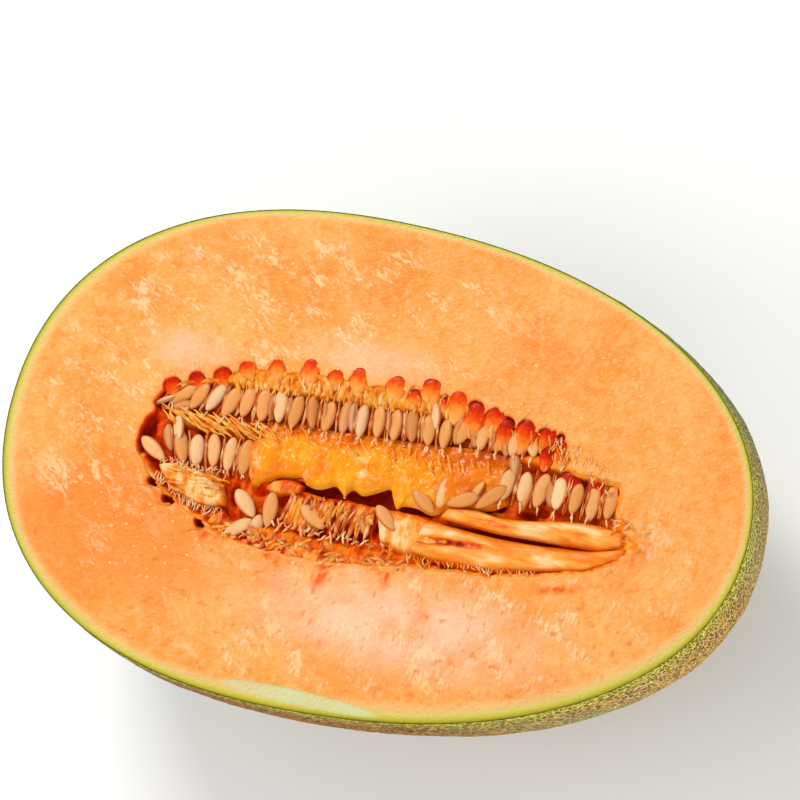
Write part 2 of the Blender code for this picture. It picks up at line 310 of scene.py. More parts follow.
cork = add(tree, "ShaderNodeMapRange", {"Value": net, "From Min": 0.26, "From Max": 0.04}).outputs[0]
cork = add(tree, "ShaderNodeMath", {0: cork, 1: fine_net}, operation="MULTIPLY").outputs[0]
cork = add(tree, "ShaderNodeMapRange", {"Value": cork, "From Min": 0.12, "From Max": 0.5}).outputs[0]
print("cork net:", len(tree.nodes), "nodes")

# %% Rind colours: green behind, brown in front and golden at one end
# The side that lay on the ground never greened. One end is golden and paler: partly the rind's own
# tan and partly painted light. Each zone has a skin colour and a cork colour, and large soft patches
# move both of them a little.
patches_place = add(
    tree, "ShaderNodeMapping", {"Vector": where, "Scale": mm(34.0, (1.6, 1, 1))}, vector_type="TEXTURE"
).outputs[0]
patches = add(
    tree, "ShaderNodeTexNoise", {"Vector": patches_place, "Scale": 1.0, "Detail": 3.0}
).outputs["Fac"]
green_skin = add(
    tree,
    "ShaderNodeValToRGB",
    {"Fac": patches},
    stops=[(0.3, "#24421F"), (0.55, "#375627"), (0.75, "#556830")],
).outputs[0]
green_cork = add(
    tree, "ShaderNodeMix", {0: patches, 6: paint("#83926A"), 7: paint("#A8A57C")}, data_type="RGBA"
).outputs[2]
brown_skin = add(
    tree,
    "ShaderNodeValToRGB",
    {"Fac": patches},
    stops=[(0.3, "#3A260A"), (0.55, "#4A3E12"), (0.8, "#60601E")],
).outputs[0]
split = add(tree, "ShaderNodeSeparateXYZ", {"Vector": where})
# Along x the cork turns golden and paler: partly its own tan, partly painted light.
golden = add(
    tree, "ShaderNodeMapRange", {"Value": split.outputs["X"], "From Min": 0.03, "From Max": 0.1}
).outputs[0]
brown_cork = add(
    tree, "ShaderNodeMix", {0: patches, 6: paint("#A87038"), 7: paint("#CC9650")}, data_type="RGBA"
).outputs[2]
lit_gold_cork = add(
    tree, "ShaderNodeMix", {0: patches, 6: paint("#CC9A48"), 7: paint("#F0CC7C")}, data_type="RGBA"
).outputs[2]
brown_cork = add(tree, "ShaderNodeMix", {0: golden, 6: brown_cork, 7: lit_gold_cork}, data_type="RGBA").outputs[2]
slant = add(tree, "ShaderNodeMath", {0: split.outputs["X"], 1: -0.45}, operation="MULTIPLY").outputs[0]
slant = add(tree, "ShaderNodeMath", {0: slant, 1: split.outputs["Y"]}, operation="ADD").outputs[0]
sunny = add(tree, "ShaderNodeMapRange", {"Value": slant, "From Min": -0.04, "From Max": 0.06}).outputs[0]
sunny = add(tree, "ShaderNodeMath", {0: sunny, 1: patches}, operation="ADD").outputs[0]
sunny = add(tree, "ShaderNodeMapRange", {"Value": sunny, "From Min": 0.45, "From Max": 0.95}).outputs[0]
skin_colour = add(
    tree, "ShaderNodeMix", {0: sunny, 6: brown_skin, 7: green_skin}, data_type="RGBA"
).outputs[2]
cork_colour = add(
    tree, "ShaderNodeMix", {0: sunny, 6: brown_cork, 7: green_cork}, data_type="RGBA"
).outputs[2]
rind_colour = add(
    tree, "ShaderNodeMix", {0: cork, 6: skin_colour, 7: cork_colour}, data_type="RGBA"
).outputs[2]
print("with its colours:", len(tree.nodes), "nodes")

# %% Rind: lime edge next to the cut, relief, and the piece
# Close to the knife's edge the light comes through the thin skin and turns it lime.
depth = add(tree, "ShaderNodeAttribute", attribute_name="below_cut").outputs["Fac"]
cut_edge = add(tree, "ShaderNodeMapRange", {"Value": depth, "From Min": 7.0, "From Max": 0.5}).outputs[0]
edge_share = add(tree, "ShaderNodeMath", {0: cut_edge, 1: 0.8}, operation="MULTIPLY").outputs[0]
edge_tint = add(
    tree, "ShaderNodeMix", {0: cork, 6: paint("#6C701A"), 7: paint("#DAD25C")}, data_type="RGBA"
).outputs[2]
rind_colour = add(
    tree, "ShaderNodeMix", {0: edge_share, 6: rind_colour, 7: edge_tint}, data_type="RGBA"
).outputs[2]
tree.links.new(rind_colour, shader.inputs["Base Color"])
height = add(tree, "ShaderNodeMath", {0: cork, 1: fine_net}, operation="ADD").outputs[0]
bump = add(tree, "ShaderNodeBump", {"Height": height, "Strength": 0.8, "Distance": 0.0004})
tree.links.new(bump.outputs[0], shader.inputs["Normal"])
rough = add(tree, "ShaderNodeMapRange", {"Value": cork, "To Min": 0.5, "To Max": 0.85}).outputs[0]
tree.links.new(rough, shader.inputs["Roughness"])

rind = make("rind", [skin_shape], rind_finish, below_cut=below_cut)

# %% [markdown]
# ## The cut face
#
# The knife leaves a nearly flat face. At its edge are the skin, a bright line of young green tissue
# and a pale band, and then comes the orange flesh, softest and wettest near the seeds. One grid runs
# from the skin inwards and over the lip of the seed cavity, where single seeds have left rounded
# pockets. Each point remembers how deep it lies under the skin and how far into the cavity, and the
# finish reads both.


# %% Outlines of the skin and of the cavity's lip, with evenly spaced points
def evenly(points, count):
    """The closed outline resampled so that its points are equally spaced."""
    loop = np.vstack([points, points[:1]])
    run = np.concatenate([[0], np.cumsum(np.linalg.norm(np.diff(loop, axis=0), axis=1))])
    steps = np.linspace(0, run[-1], count, endpoint=False)
    return np.stack([np.interp(steps, run, loop[:, k]) for k in range(2)], -1), steps


# How many spokes run from the skin to the lip, and points of the lip anticlockwise from the right.
SPOKES = 1100
LIP = [
    (82, 0), (82, 5), (80.5, 9), (74, 10), (66, 11), (63, 15), (56, 18.5), (48, 20.5), (38, 22), (28, 24.5),
    (16, 25.5), (4, 25), (-12, 25.3), (-26, 25), (-38, 24.2), (-48, 21.8), (-56, 18.6), (-64, 15.8),
    (-71, 12.5), (-74.5, 8), (-73, 5), (-75.5, 1), (-76, -5), (-73.5, -11), (-68, -17), (-60, -22),
    (-52, -26), (-44, -28.5), (-34, -31), (-22, -32), (-8, -31.5), (6, -30), (18, -28.5), (32, -27.2),
    (46, -26), (58, -24), (70, -21), (80, -17), (87, -12), (89.5, -8), (87, -4),
]
rim_angles = np.linspace(0, 2 * math.pi, 4000, endpoint=False)
rim_rays = np.stack([np.cos(rim_angles), np.sin(rim_angles), 0 * rim_angles], -1)
rim, _ = evenly(skin_points(rim_rays)[:, :2], SPOKES)
lip, lip_run = evenly(route(LIP + LIP[:1], 2000)[:-1], SPOKES)
lip_normal = np.roll(lip, 1, 0) - np.roll(lip, -1, 0)
lip_normal = np.stack([-lip_normal[:, 1], lip_normal[:, 0]], -1)
lip_normal /= np.linalg.norm(lip_normal, axis=1)[:, None]
print("lip of the cavity", lip.min(0).round(1), lip.max(0).round(1))

# %% Pockets that single seeds have left: place, half width, and how much painted shade darkens them
POCKETS = [
    (-70, 15, 3.2, 0.9), (-62, 18.5, 2.9, 1.0), (-54, 21, 3.2, 0.9), (-45.5, 24, 3.1, 0.4),
    (-36, 26, 3.0, 0.3), (-25, 27, 3.3, 0.3), (-16, 26.5, 2.8, 0.4), (-8.5, 26.7, 3.2, 0.2),
    (4, 26, 3.3, 0.1), (10.5, 24.6, 2.0, 0.4), (15.5, 27.2, 3.2, 0.2), (20.5, 24.5, 1.5, 0.5),
    (25, 26.5, 3.0, 0.2), (31, 23.5, 3.0, 0.5), (37.5, 24.5, 3.0, 0.5), (41.5, 20.6, 2.6, 0.7),
    (48, 21.6, 3.1, 0.6), (55, 22, 2.7, 0.8), (56.5, 15.5, 2.2, 1.0), (60.5, 18, 2.6, 0.6),
    (66.5, 17.5, 1.6, 0.8), (70.5, 14, 1.5, 0.5), (64.5, 7.5, 3.0, 0.8), (73, 7.2, 2.3, 0.6),
    (79, 6.5, 2.6, 0.7), (-66, -16, 2.3, 1.0), (-60, -21, 2.6, 0.9), (-48, -26, 2.4, 1.0),
    (-47, -21.6, 1.4, 1.0), (-71, -9, 2.2, 0.6), (-33, -28.5, 2.6, 0.8), (-26, -31, 1.5, 0.8),
]
smooth_lip = lip.copy()
lip_red = np.zeros(SPOKES)
for x, y, size, in_shadow in POCKETS[:22] + POCKETS[25:28]:
    away = np.hypot(lip[:, 0] - x, lip[:, 1] - y)
    nearest = np.argmin(away)
    gap = np.abs(lip_run - lip_run[nearest])
    bay = np.sqrt(np.maximum(1 - (gap / size) ** 2, 0)) * (away[nearest] < size * 1.6)
    lip = lip + lip_normal * (bay * size * 0.9)[:, None]
    lip_red = np.maximum(lip_red, bay)
lip_red = np.maximum(lip_red, 0.6 * ease(-lip[:, 0], 68, 72) * ease(lip[:, 1], -12, -4))
ragged = 0.35 * waves(lip_run, 0 * lip_run, 3.0, 21) + 0.35 * waves(lip_run, 0 * lip_run, 11.0, 22)
lip = lip + lip_normal * ragged[:, None]
print(len(POCKETS), "pockets")

# %% The grid from the skin over the face, the lip and the cavity's wall
face_steps = np.concatenate([np.linspace(0, 0.16, 26)[:-1], np.linspace(0.16, 0.962, 58)])
wall = np.array(
    [[-0.75, 0.02], [-0.5, 0.1], [-0.2, 0.35], [0, 0.9], [0.2, 2.0], [0.3, 4], [0.2, 7], [-0.5, 11]]
)
rows, skin_depth, cave_depth = [], [], []
spoke = smooth_lip - rim
spoke_length = np.linalg.norm(spoke, axis=1)
for step in face_steps:
    flat = rim + spoke * step + (lip - smooth_lip) * ease(step, 0.78, 0.985)
    rows.append(np.column_stack([flat, np.zeros(SPOKES)]))
    skin_depth.append(spoke_length * step)
    cave_depth.append(-(1 - step) * spoke_length)
for sideways, down in wall:
    flat = lip - lip_normal * sideways
    rows.append(np.column_stack([flat, np.full(SPOKES, -down)]))
    skin_depth.append(spoke_length)
    cave_depth.append(np.full(SPOKES, down + sideways))
grid = np.stack(rows)
redness = np.tile(lip_red, (len(grid), 1))
skin_depth, cave_depth = np.stack(skin_depth), np.stack(cave_depth)
print("grid", grid.shape, "spokes from", spoke_length.min().round(1), "to", spoke_length.max().round(1))


# %% Relief: knife drag, juicy flecks and pits
def flecks(x, y, turn, length, width, seed):
    """Short raised strokes that lie along one direction."""
    u = x * math.cos(turn) + y * math.sin(turn)
    v = -x * math.sin(turn) + y * math.cos(turn)
    return ease(waves(u / length, v / width, 1.0, seed, 2), 0.35, 1.0)


gx, gy = grid[..., 0], grid[..., 1]
upper_left = ease(-gx * 0.5 + gy, -10, 40)
lower_right = ease(gx * 0.6 - gy, 15, 60)
strokes = flecks(gx, gy, math.radians(-38), 2.6, 0.8, 31) * upper_left
strokes = strokes + flecks(gx, gy, math.radians(96), 2.2, 0.8, 32) * lower_right
drag = 0.10 * waves(gx * 0.25, gy, 3.0, 33) + 0.22 * waves(gx, gy, 16.0, 34, 2)
pits = ease(waves(gx, gy, 1.5, 35, 1), 0.62, 0.95) * ease(-gy, 5, 40)
relief = drag + 0.2 * strokes - 0.25 * pits - 0.15
calm_at_skin = ease(skin_depth, 1.0, 7.0)
juicy = np.clip(0.3 + 0.9 * upper_left + 0.7 * lower_right + 0.5 * waves(gx, gy, 18.0, 30, 2), 0, 1)
juicy = juicy * ease(skin_depth, 3.0, 12.0)
face_only = ease(-cave_depth, -0.5, 1.0)
grid[..., 2] += relief * calm_at_skin * face_only
grid[0, :, 2] -= 0.6
slip = ease(9.0 - np.hypot((gx + 3) / 3.2, (gy + 74.2) * 3.4), 0, 2.0)
grid[..., 2] -= 0.5 * slip * ease(skin_depth, 0.5, 1.5)
print("relief from", relief.min().round(2), "to", relief.max().round(2), "mm")

# %% Smoother flesh at the upper right, where the knife ran clean
juicy = juicy * (1 - 0.75 * ease(gx, 15, 60) * ease(gy, -8, 14))
print("juicy on average", juicy.mean().round(2))

# %% Riper orange flesh low on the left, and paler peach flesh under the cavity
ripe = ease(1 - np.hypot((gx + 75) / 62, (gy + 34) / 34), 0, 0.7) + 0.4 * ease(waves(gx, gy, 22, 39), 0.1, 1)
peach = ease(1 - np.hypot((gx - 22) / 70, (gy + 46) / 21), 0, 0.8)
peach = np.maximum(peach, 0.7 * ease(1 - np.hypot((gx + 66) / 22, (gy - 26) / 11), 0, 0.9))
peach = np.maximum(peach, 0.6 * ease(1 - np.hypot((gx + 6) / 36, (gy - 34) / 10), 0, 0.9))
peach = peach * np.clip(0.75 + 0.4 * waves(gx, gy, 6.0, 40), 0, 1)
print("ripe on average", ripe.mean().round(2), "and peach", peach.mean().round(2))

# %% Flesh stained red around the torn lower lip
low_side = ease(-gy, 8, 22) * ease(-gx, -40, -12)
stain = ease(4.5 + cave_depth + 2.5 * waves(gx, gy, 4.0, 37), 0, 6) * low_side
for x, y, size in ((-5, -34.5, 4), (15, -30.5, 3.5), (-46, -30, 3), (-20, -35, 2.5)):
    drip = np.hypot(gx - x + 0.8 * waves(gx, gy, 2.5, 77), (gy - y) * 0.42)
    stain = np.maximum(stain, ease(1 - drip / size, 0, 0.9) * min(size / 3.5, 1))
stain = np.maximum(stain, 0.75 * ease(1 - np.hypot((gx - 90) / 6, (gy + 9) / 8), 0, 0.9))
streaky = np.hypot((gx - 70) / 14, (gy + 25.5 - 0.25 * (gx - 70)) / 2.6)
stain = np.maximum(stain, 0.8 * ease(1 - streaky, 0, 0.9))
stain = stain * np.clip(0.75 + 0.6 * waves(gx, gy, 1.6, 38), 0, 1) * (cave_depth < 0.5)
print("stained points", int((stain > 0.5).sum()))

# %% How wide the green edge is in each direction
edge_angle = np.arctan2(rim[:, 1], rim[:, 0])
edge_width = 0.8 + 1.0 * ease(-np.sin(edge_angle - 0.25), 0.0, 0.95) + 0.5 * ease(-np.cos(edge_angle), 0.5, 1)
edge_width = edge_width + 0.15 * waves(edge_angle * 20, 0 * edge_angle, 5.0, 36)
edge_depth = skin_depth / edge_width
print("green edge from", edge_width.min().round(1), "to", edge_width.max().round(1), "mm wide")

# %% [markdown]
# ## The finish of the flesh
#
# Melon flesh is cut plant cells full of juice. Light goes in and comes out orange a few millimetres
# away, so the shadows are soft, and the film of juice gives small broken glints. One noise gives
# broad clouds of colour and a finer one the mottle. Attributes on the grid say where it is riper,
# paler or stained, because those places follow the fruit and not a pattern.

# %% Flesh finish: clouds and mottle of orange
flesh_finish, tree, shader, where = start_material(
    "orange_flesh", 0.4, soft=0.3, soft_mm=(4, 1.6, 0.5), wet=0.05
)
clouds_place = add(
    tree, "ShaderNodeMapping", {"Vector": where, "Scale": mm(26.0)}, vector_type="TEXTURE"
).outputs[0]
clouds = add(
    tree, "ShaderNodeTexNoise", {"Vector": clouds_place, "Scale": 1.0, "Detail": 3.0}
).outputs["Fac"]
mottle_place = add(
    tree, "ShaderNodeMapping", {"Vector": where, "Scale": mm(3.2)}, vector_type="TEXTURE"
).outputs[0]
mottle = add(
    tree,
    "ShaderNodeTexNoise",
    {"Vector": mottle_place, "Scale": 1.0, "Detail": 4.0, "Roughness": 0.6, "Distortion": 0.8},
).outputs["Fac"]
colour = add(
    tree, "ShaderNodeValToRGB", {"Fac": clouds}, stops=[(0.3, "#EE8C30"), (0.5, "#F29D44"), (0.7, "#F4AA58")]
).outputs[0]
pale = add(tree, "ShaderNodeMapRange", {"Value": mottle, "From Min": 0.48, "From Max": 0.72}).outputs[0]
pale = add(tree, "ShaderNodeMath", {0: pale, 1: 0.55}, operation="MULTIPLY").outputs[0]
colour = add(tree, "ShaderNodeMix", {0: pale, 6: colour, 7: paint("#FCBE7A")}, data_type="RGBA").outputs[2]
deep = add(tree, "ShaderNodeMapRange", {"Value": mottle, "From Min": 0.44, "From Max": 0.30}).outputs[0]
deep = add(tree, "ShaderNodeMath", {0: deep, 1: 0.5}, operation="MULTIPLY").outputs[0]
colour = add(tree, "ShaderNodeMix", {0: deep, 6: colour, 7: paint("#F27E1C")}, data_type="RGBA").outputs[2]
print("clouds and mottle:", len(tree.nodes), "nodes")

# %% Flesh finish: riper, paler and juicier places
# Torn cells stand up in pale flakes a millimetre or so long, which lie along the knife's path. Their
# pale colour is partly the torn cells and partly a painted highlight of wet glints.
ripe_share = add(tree, "ShaderNodeAttribute", attribute_name="ripe").outputs["Fac"]
ripe_share = add(tree, "ShaderNodeMath", {0: ripe_share, 1: 0.6}, operation="MULTIPLY").outputs[0]
colour = add(
    tree, "ShaderNodeMix", {0: ripe_share, 6: colour, 7: paint("#F07C22")}, data_type="RGBA"
).outputs[2]
peach_share = add(tree, "ShaderNodeAttribute", attribute_name="peach").outputs["Fac"]
peach_share = add(tree, "ShaderNodeMath", {0: peach_share, 1: 0.95}, operation="MULTIPLY").outputs[0]
colour = add(
    tree, "ShaderNodeMix", {0: peach_share, 6: colour, 7: paint("#F3C4A0")}, data_type="RGBA"
).outputs[2]
juicy_share = add(tree, "ShaderNodeAttribute", attribute_name="juicy").outputs["Fac"]
clusters_place = add(
    tree,
    "ShaderNodeMapping",
    {"Vector": where, "Rotation": (0, 0, -0.35), "Scale": mm(7.0, (1.8, 1, 1))},
    vector_type="TEXTURE",
).outputs[0]
clusters = add(
    tree, "ShaderNodeTexNoise", {"Vector": clusters_place, "Scale": 1.0, "Detail": 3.0}
).outputs["Fac"]
flake_place = add(
    tree,
    "ShaderNodeMapping",
    {"Vector": where, "Rotation": (0, 0, -0.55), "Scale": mm(1.3, (2.4, 1, 1))},
    vector_type="TEXTURE",
).outputs[0]
flake = {"Vector": flake_place, "Scale": 1.0, "Detail": 3.0, "Distortion": 1.2}
flake = add(tree, "ShaderNodeTexNoise", flake).outputs["Fac"]
upright_place = add(
    tree,
    "ShaderNodeMapping",
    {"Vector": where, "Rotation": (0, 0, -1.7), "Scale": mm(1.2, (2.6, 1, 1))},
    vector_type="TEXTURE",
).outputs[0]
upright = {"Vector": upright_place, "Scale": 1.0, "Detail": 3.0, "Distortion": 1.2}
upright = add(tree, "ShaderNodeTexNoise", upright).outputs["Fac"]
low_right = add(tree, "ShaderNodeAttribute", attribute_name="low_right").outputs["Fac"]
flake = add(tree, "ShaderNodeMix", {0: low_right, 2: flake, 3: upright}, data_type="FLOAT").outputs[0]
flake = add(tree, "ShaderNodeMath", {0: flake, 1: clusters}, operation="ADD").outputs[0]
flake = add(tree, "ShaderNodeMapRange", {"Value": flake, "From Min": 1.06, "From Max": 1.2}).outputs[0]
flake = add(tree, "ShaderNodeMath", {0: flake, 1: juicy_share}, operation="MULTIPLY").outputs[0]
# The flakes' pale colour: partly torn cells, partly painted highlight.
flake_and_glint_share = add(tree, "ShaderNodeMath", {0: flake, 1: 0.62}, operation="MULTIPLY").outputs[0]
colour = add(
    tree, "ShaderNodeMix", {0: flake_and_glint_share, 6: colour, 7: paint("#F8D6A2")}, data_type="RGBA"
).outputs[2]
# The pits are painted darker orange: painted shade in the small hollows.
pit_shade_share = add(tree, "ShaderNodeAttribute", attribute_name="pits").outputs["Fac"]
pit_shade_share = add(tree, "ShaderNodeMath", {0: pit_shade_share, 1: 0.7}, operation="MULTIPLY").outputs[0]
colour = add(
    tree, "ShaderNodeMix", {0: pit_shade_share, 6: colour, 7: paint("#E9781E")}, data_type="RGBA"
).outputs[2]
print("with its places:", len(tree.nodes), "nodes")

# %% Flesh finish: the green edge under the skin
# The attribute counts in widths of the green edge, so the colours follow it where it is wider.
edge = add(tree, "ShaderNodeAttribute", attribute_name="edge_depth").outputs["Fac"]
edge = add(tree, "ShaderNodeMapRange", {"Value": edge, "From Min": 0.0, "From Max": 10.0}).outputs[0]
edge_colour = add(
    tree,
    "ShaderNodeValToRGB",
    {"Fac": edge},
    stops=[
        (0.0, "#6A6018"), (0.03, "#A0961C"), (0.075, "#C2B634"), (0.14, "#D2C464"), (0.26, "#E2C484"),
        (0.42, "#EEB468"),
    ],
).outputs[0]
flesh_share = add(tree, "ShaderNodeMapRange", {"Value": edge, "From Min": 0.12, "From Max": 0.42}).outputs[0]
colour = add(tree, "ShaderNodeMix", {0: flesh_share, 6: edge_colour, 7: colour}, data_type="RGBA").outputs[2]
print("with its green edge:", len(tree.nodes), "nodes")

# %% Flesh finish: where the knife slipped, stains, and the red wall of the cavity in painted shade
slipped = add(tree, "ShaderNodeAttribute", attribute_name="slip").outputs["Fac"]
slipped = add(tree, "ShaderNodeMath", {0: slipped, 1: clouds}, operation="MULTIPLY").outputs[0]
slipped = add(tree, "ShaderNodeMapRange", {"Value": slipped, "From Min": 0.1, "From Max": 0.6}).outputs[0]
colour = add(tree, "ShaderNodeMix", {0: slipped, 6: colour, 7: paint("#CFCF98")}, data_type="RGBA").outputs[2]
stained = add(tree, "ShaderNodeAttribute", attribute_name="stain").outputs["Fac"]
stain_colour = add(
    tree, "ShaderNodeValToRGB", {"Fac": stained}, stops=[(0.0, "#F28C34"), (0.5, "#EC7018"), (1.0, "#E25408")]
).outputs[0]
stained = add(tree, "ShaderNodeMapRange", {"Value": stained, "From Max": 0.7}).outputs[0]
colour = add(tree, "ShaderNodeMix", {0: stained, 6: colour, 7: stain_colour}, data_type="RGBA").outputs[2]
# Down the cavity's wall the colour is painted darker, towards maroon, as shade. Beside the pockets it takes
# the redder run, which is partly red tissue and partly painted shade.
cave = add(tree, "ShaderNodeAttribute", attribute_name="cave_depth").outputs["Fac"]
cave = add(tree, "ShaderNodeMapRange", {"Value": cave, "From Min": -3.0, "From Max": 9.0}).outputs[0]
cave_red_and_shade = add(
    tree,
    "ShaderNodeValToRGB",
    {"Fac": cave},
    stops=[
        (0.0, "#F89A42"), (0.22, "#F27A22"), (0.3, "#EC560C"), (0.42, "#D83200"), (0.7, "#A01C00"),
        (1.0, "#5A0C00"),
    ],
).outputs[0]
cave_share = add(tree, "ShaderNodeMapRange", {"Value": cave, "From Min": 0.1, "From Max": 0.3}).outputs[0]
orange_wall_in_shade = add(
    tree, "ShaderNodeValToRGB", {"Fac": cave}, stops=[(0.2, "#F9A04A"), (0.5, "#EE7A22"), (1.0, "#B83A0C")]
).outputs[0]
red_share = add(tree, "ShaderNodeAttribute", attribute_name="redness").outputs["Fac"]
red_share = add(tree, "ShaderNodeMapRange", {"Value": red_share, "From Min": 0.0, "From Max": 0.5}).outputs[0]
cave_red_and_shade = add(
    tree, "ShaderNodeMix", {0: red_share, 6: orange_wall_in_shade, 7: cave_red_and_shade}, data_type="RGBA"
).outputs[2]
colour = add(tree, "ShaderNodeMix", {0: cave_share, 6: colour, 7: cave_red_and_shade}, data_type="RGBA").outputs[2]
tree.links.new(colour, shader.inputs["Base Color"])
print("with stains and cavity:", len(tree.nodes), "nodes")

# %% Flesh: relief and gloss from the cells, and the piece
cells_place = add(
    tree,
    "ShaderNodeMapping",
    {"Vector": where, "Rotation": (0, 0, 0.6), "Scale": mm(0.9, (1.6, 1, 1))},
    vector_type="TEXTURE",
).outputs[0]
cells = add(tree, "ShaderNodeTexVoronoi", {"Vector": cells_place, "Scale": 1.0}).outputs["Distance"]
height = add(tree, "ShaderNodeMath", {0: mottle, 1: cells}, operation="ADD").outputs[0]
height = add(tree, "ShaderNodeMath", {0: flake, 1: height}, operation="ADD").outputs[0]
bump = add(tree, "ShaderNodeBump", {"Height": height, "Strength": 0.5, "Distance": 0.0005})
tree.links.new(bump.outputs[0], shader.inputs["Normal"])
rough = add(tree, "ShaderNodeMapRange", {"Value": mottle, "To Min": 0.24, "To Max": 0.5}).outputs[0]
tree.links.new(rough, shader.inputs["Roughness"])

flesh = make(
    "flesh",
    [woven(grid, closed=True)],
    flesh_finish,
    edge_depth=edge_depth,
    cave_depth=cave_depth,
    juicy=juicy,
    low_right=lower_right,
    pits=pits * face_only,
    slip=slip,
    redness=redness,
    stain=stain,
    ripe=ripe,
    peach=peach,
)
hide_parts("melon_half")

# %% [markdown]
# ## The red tissue under the seeds
#
# Under and between the seeds lies a wet bed of red tissue. It is mostly hidden, so one height field
# is enough: a soft orange ridge above the seeds, a rounded bowl in each pocket and a deep slit where
# the pulp has torn away. Each point also remembers its shade, from maroon to orange, and the bowls,
# the slit and the gaps between the folds are painted darker as shade.

# %% The seeds' places, read from the solid model
# The longest axis of a seed's corners is the way it points, and the shortest is its flat side.
seeds = []
for name, node in sorted(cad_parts.items()):
    if name.startswith("seed_"):
        corners = np.array([v.co for v in node.data.vertices]) * 1000 - [0, 0, CUT_HEIGHT]
        centre = (corners.min(0) + corners.max(0)) / 2
        axes = np.linalg.svd(corners - corners.mean(0))[2]
        long_axis = axes[0] * (1 if axes[0][1] > 0 else -1)
        thin_axis = axes[2] * (1 if axes[2][2] > 0 else -1)
        size = [np.ptp(corners @ axis) for axis in axes]
        seeds.append((name, centre, long_axis, thin_axis, size))
seed_length, seed_width, seed_thickness = seeds[0][4]
print(len(seeds), "seeds of", [round(float(c), 1) for c in seeds[0][4]], "mm")


# %% Height and shade of the bed
def blob(x, y, centre, size):
    """1 in the middle of an oval patch and 0 outside it."""
    return ease(1 - np.hypot((x - centre[0]) / size[0], (y - centre[1]) / size[1]), 0, 0.6)


# The bed is built up in steps: a rough floor, the ridge above the upper row, the orange ends, the
# folds under the tear, the tear's own slit, a warm band under the rows, and last gaps and pockets.
# The slit, the gaps and the pockets are painted dark as shade, over the red of the tissue.
bed_x, bed_y = np.meshgrid(np.linspace(-80, 93, 450), np.linspace(-34, 31, 200))
row_line = np.interp(bed_x, [-70, -60, 23, 35, 60, 72], [11, 12.5, 15.0, 17.0, 17.5, 15])
bed_z = -5.0 + 0.8 * waves(bed_x, bed_y, 4.0, 41)
bed_shade = 0.42 + 0.12 * waves(bed_x, bed_y, 3.0, 42) + 0.1 * waves(bed_x * 2.5, bed_y * 0.5, 3.0, 43)
ridge = ease(bed_y - row_line, 2.8, 6.4)
bed_z += 3.5 * ridge + 0.9 * ridge * waves(bed_x * 2.4, bed_y * 0.7, 3.0, 44)
bed_shade += 0.44 * ridge + 0.12 * ridge * waves(bed_x * 2.4, bed_y * 0.7, 2.4, 49)
between = blob(bed_x, bed_y, (60, 12), (16, 3.0))
bed_z += 3.0 * between
bed_shade += 0.35 * between
orange_end = ease(bed_x, 76, 86) + blob(bed_x, bed_y, (-73, 0), (7, 9)) * 0.4
bed_z += 3.4 * np.minimum(orange_end, 1)
bed_shade += 0.25 * orange_end
torn = ease(-bed_y, 9, 13) * ease(-bed_x, -24, -14) * ease(bed_x, -48, -40)
bed_z += torn * (1.2 + 0.9 * waves(bed_x * 1.5, bed_y * 0.6, 3.0, 45))
bed_shade += torn * 0.14 * waves(bed_x * 2.0, bed_y * 0.5, 2.6, 46)
torn_edge = ease(-bed_y, 23.5, 26) * ease(bed_x, -46, -38) * ease(-bed_x, -26, -18)
bed_z += torn_edge * 2.2
bed_shade += torn_edge * 0.16
slit_line = np.interp(bed_x, [-24, -18, -5, 0, 8, 15, 25], [-8.6, -9.6, -9.4, -9.4, -8.6, -9.8, -10.4])
slit_half = np.interp(
    bed_x, [-24, -18, -12, -4.5, -3.5, 3, 9, 13, 24], [0.6, 1.2, 1.7, 1.5, 1.2, 2.0, 3.0, 1.2, 0.8]
)
slit = ease(1.35 - np.abs(bed_y - slit_line) / slit_half, 0, 0.4)
slit = slit * ease(bed_x, -23, -19) * ease(-bed_x, -26, -21)
# The slit is painted nearly maroon: painted shade deep in the tear.
bed_z = bed_z * (1 - slit) - 8 * slit
bed_shade = bed_shade * (1 - slit) + 0.06 * slit
warm = np.maximum(blob(bed_x, bed_y, (-54, 4.5), (24, 3.6)), blob(bed_x, bed_y, (0, 7), (52, 3)))
bed_z += 2.2 * warm
bed_shade = bed_shade * (1 - warm) + (0.66 + 0.15 * waves(bed_x * 1.5, bed_y, 2.5, 47)) * warm
# Gaps between the folds of pulp, sunk and painted dark as shade: place, half widths and shade.
shaded_gaps = [((-20, 12.5), (1.9, 7.5), 0.1), ((24.2, 17), (1.6, 8), 0.08), ((-40, -17), (3.2, 4), 0.1),
        ((-32.5, -13.5), (3.5, 2.5), 0.25), ((-24, -16), (3.5, 2), 0.28), ((8, -19), (1.3, 4), 0.0),
        ((-5.3, -22), (1.2, 4), 0.08), ((-12, -22.5), (7, 2.4), 0.12), ((2, -22), (6, 2.6), 0.14),
        ((50, -12.8), (26, 1.4), 0.1), ((-73.5, -3), (2.4, 7), 0.36), ((-30, -23), (5, 3), 0.2),
        ((-43, -3), (1.5, 5), 0.3), ((-57.5, 0), (1.6, 3), 0.2), ((44.5, -4), (3, 2), 0.15),
        ((40, -4.5), (3.5, 2.2), 0.18), ((54, -5), (4, 2), 0.12), ((58, -3), (3, 2), 0.25)]
for centre, size, shade in shaded_gaps:
    hollow = blob(bed_x, bed_y, centre, size)
    bed_z -= 1.8 * hollow
    bed_shade = bed_shade * (1 - hollow) + shade * hollow
# Each pocket's bowl is painted darker towards its outer side and where the pocket is in shadow: painted
# shade.
for x, y, size, in_shadow in POCKETS:
    bowl = ease(1.25 - np.hypot(bed_x - x, bed_y - y) / size, 0, 0.5)
    rise = np.clip((bed_y - y) / size, -1, 1) * (1 if y > 0 else -1)
    bed_z = bed_z * (1 - bowl) + (-2.8 - 1.2 * rise) * bowl
    bowl_shade = 0.62 - 0.30 * rise - 0.38 * in_shadow
    bed_shade = bed_shade * (1 - bowl) + bowl_shade * bowl

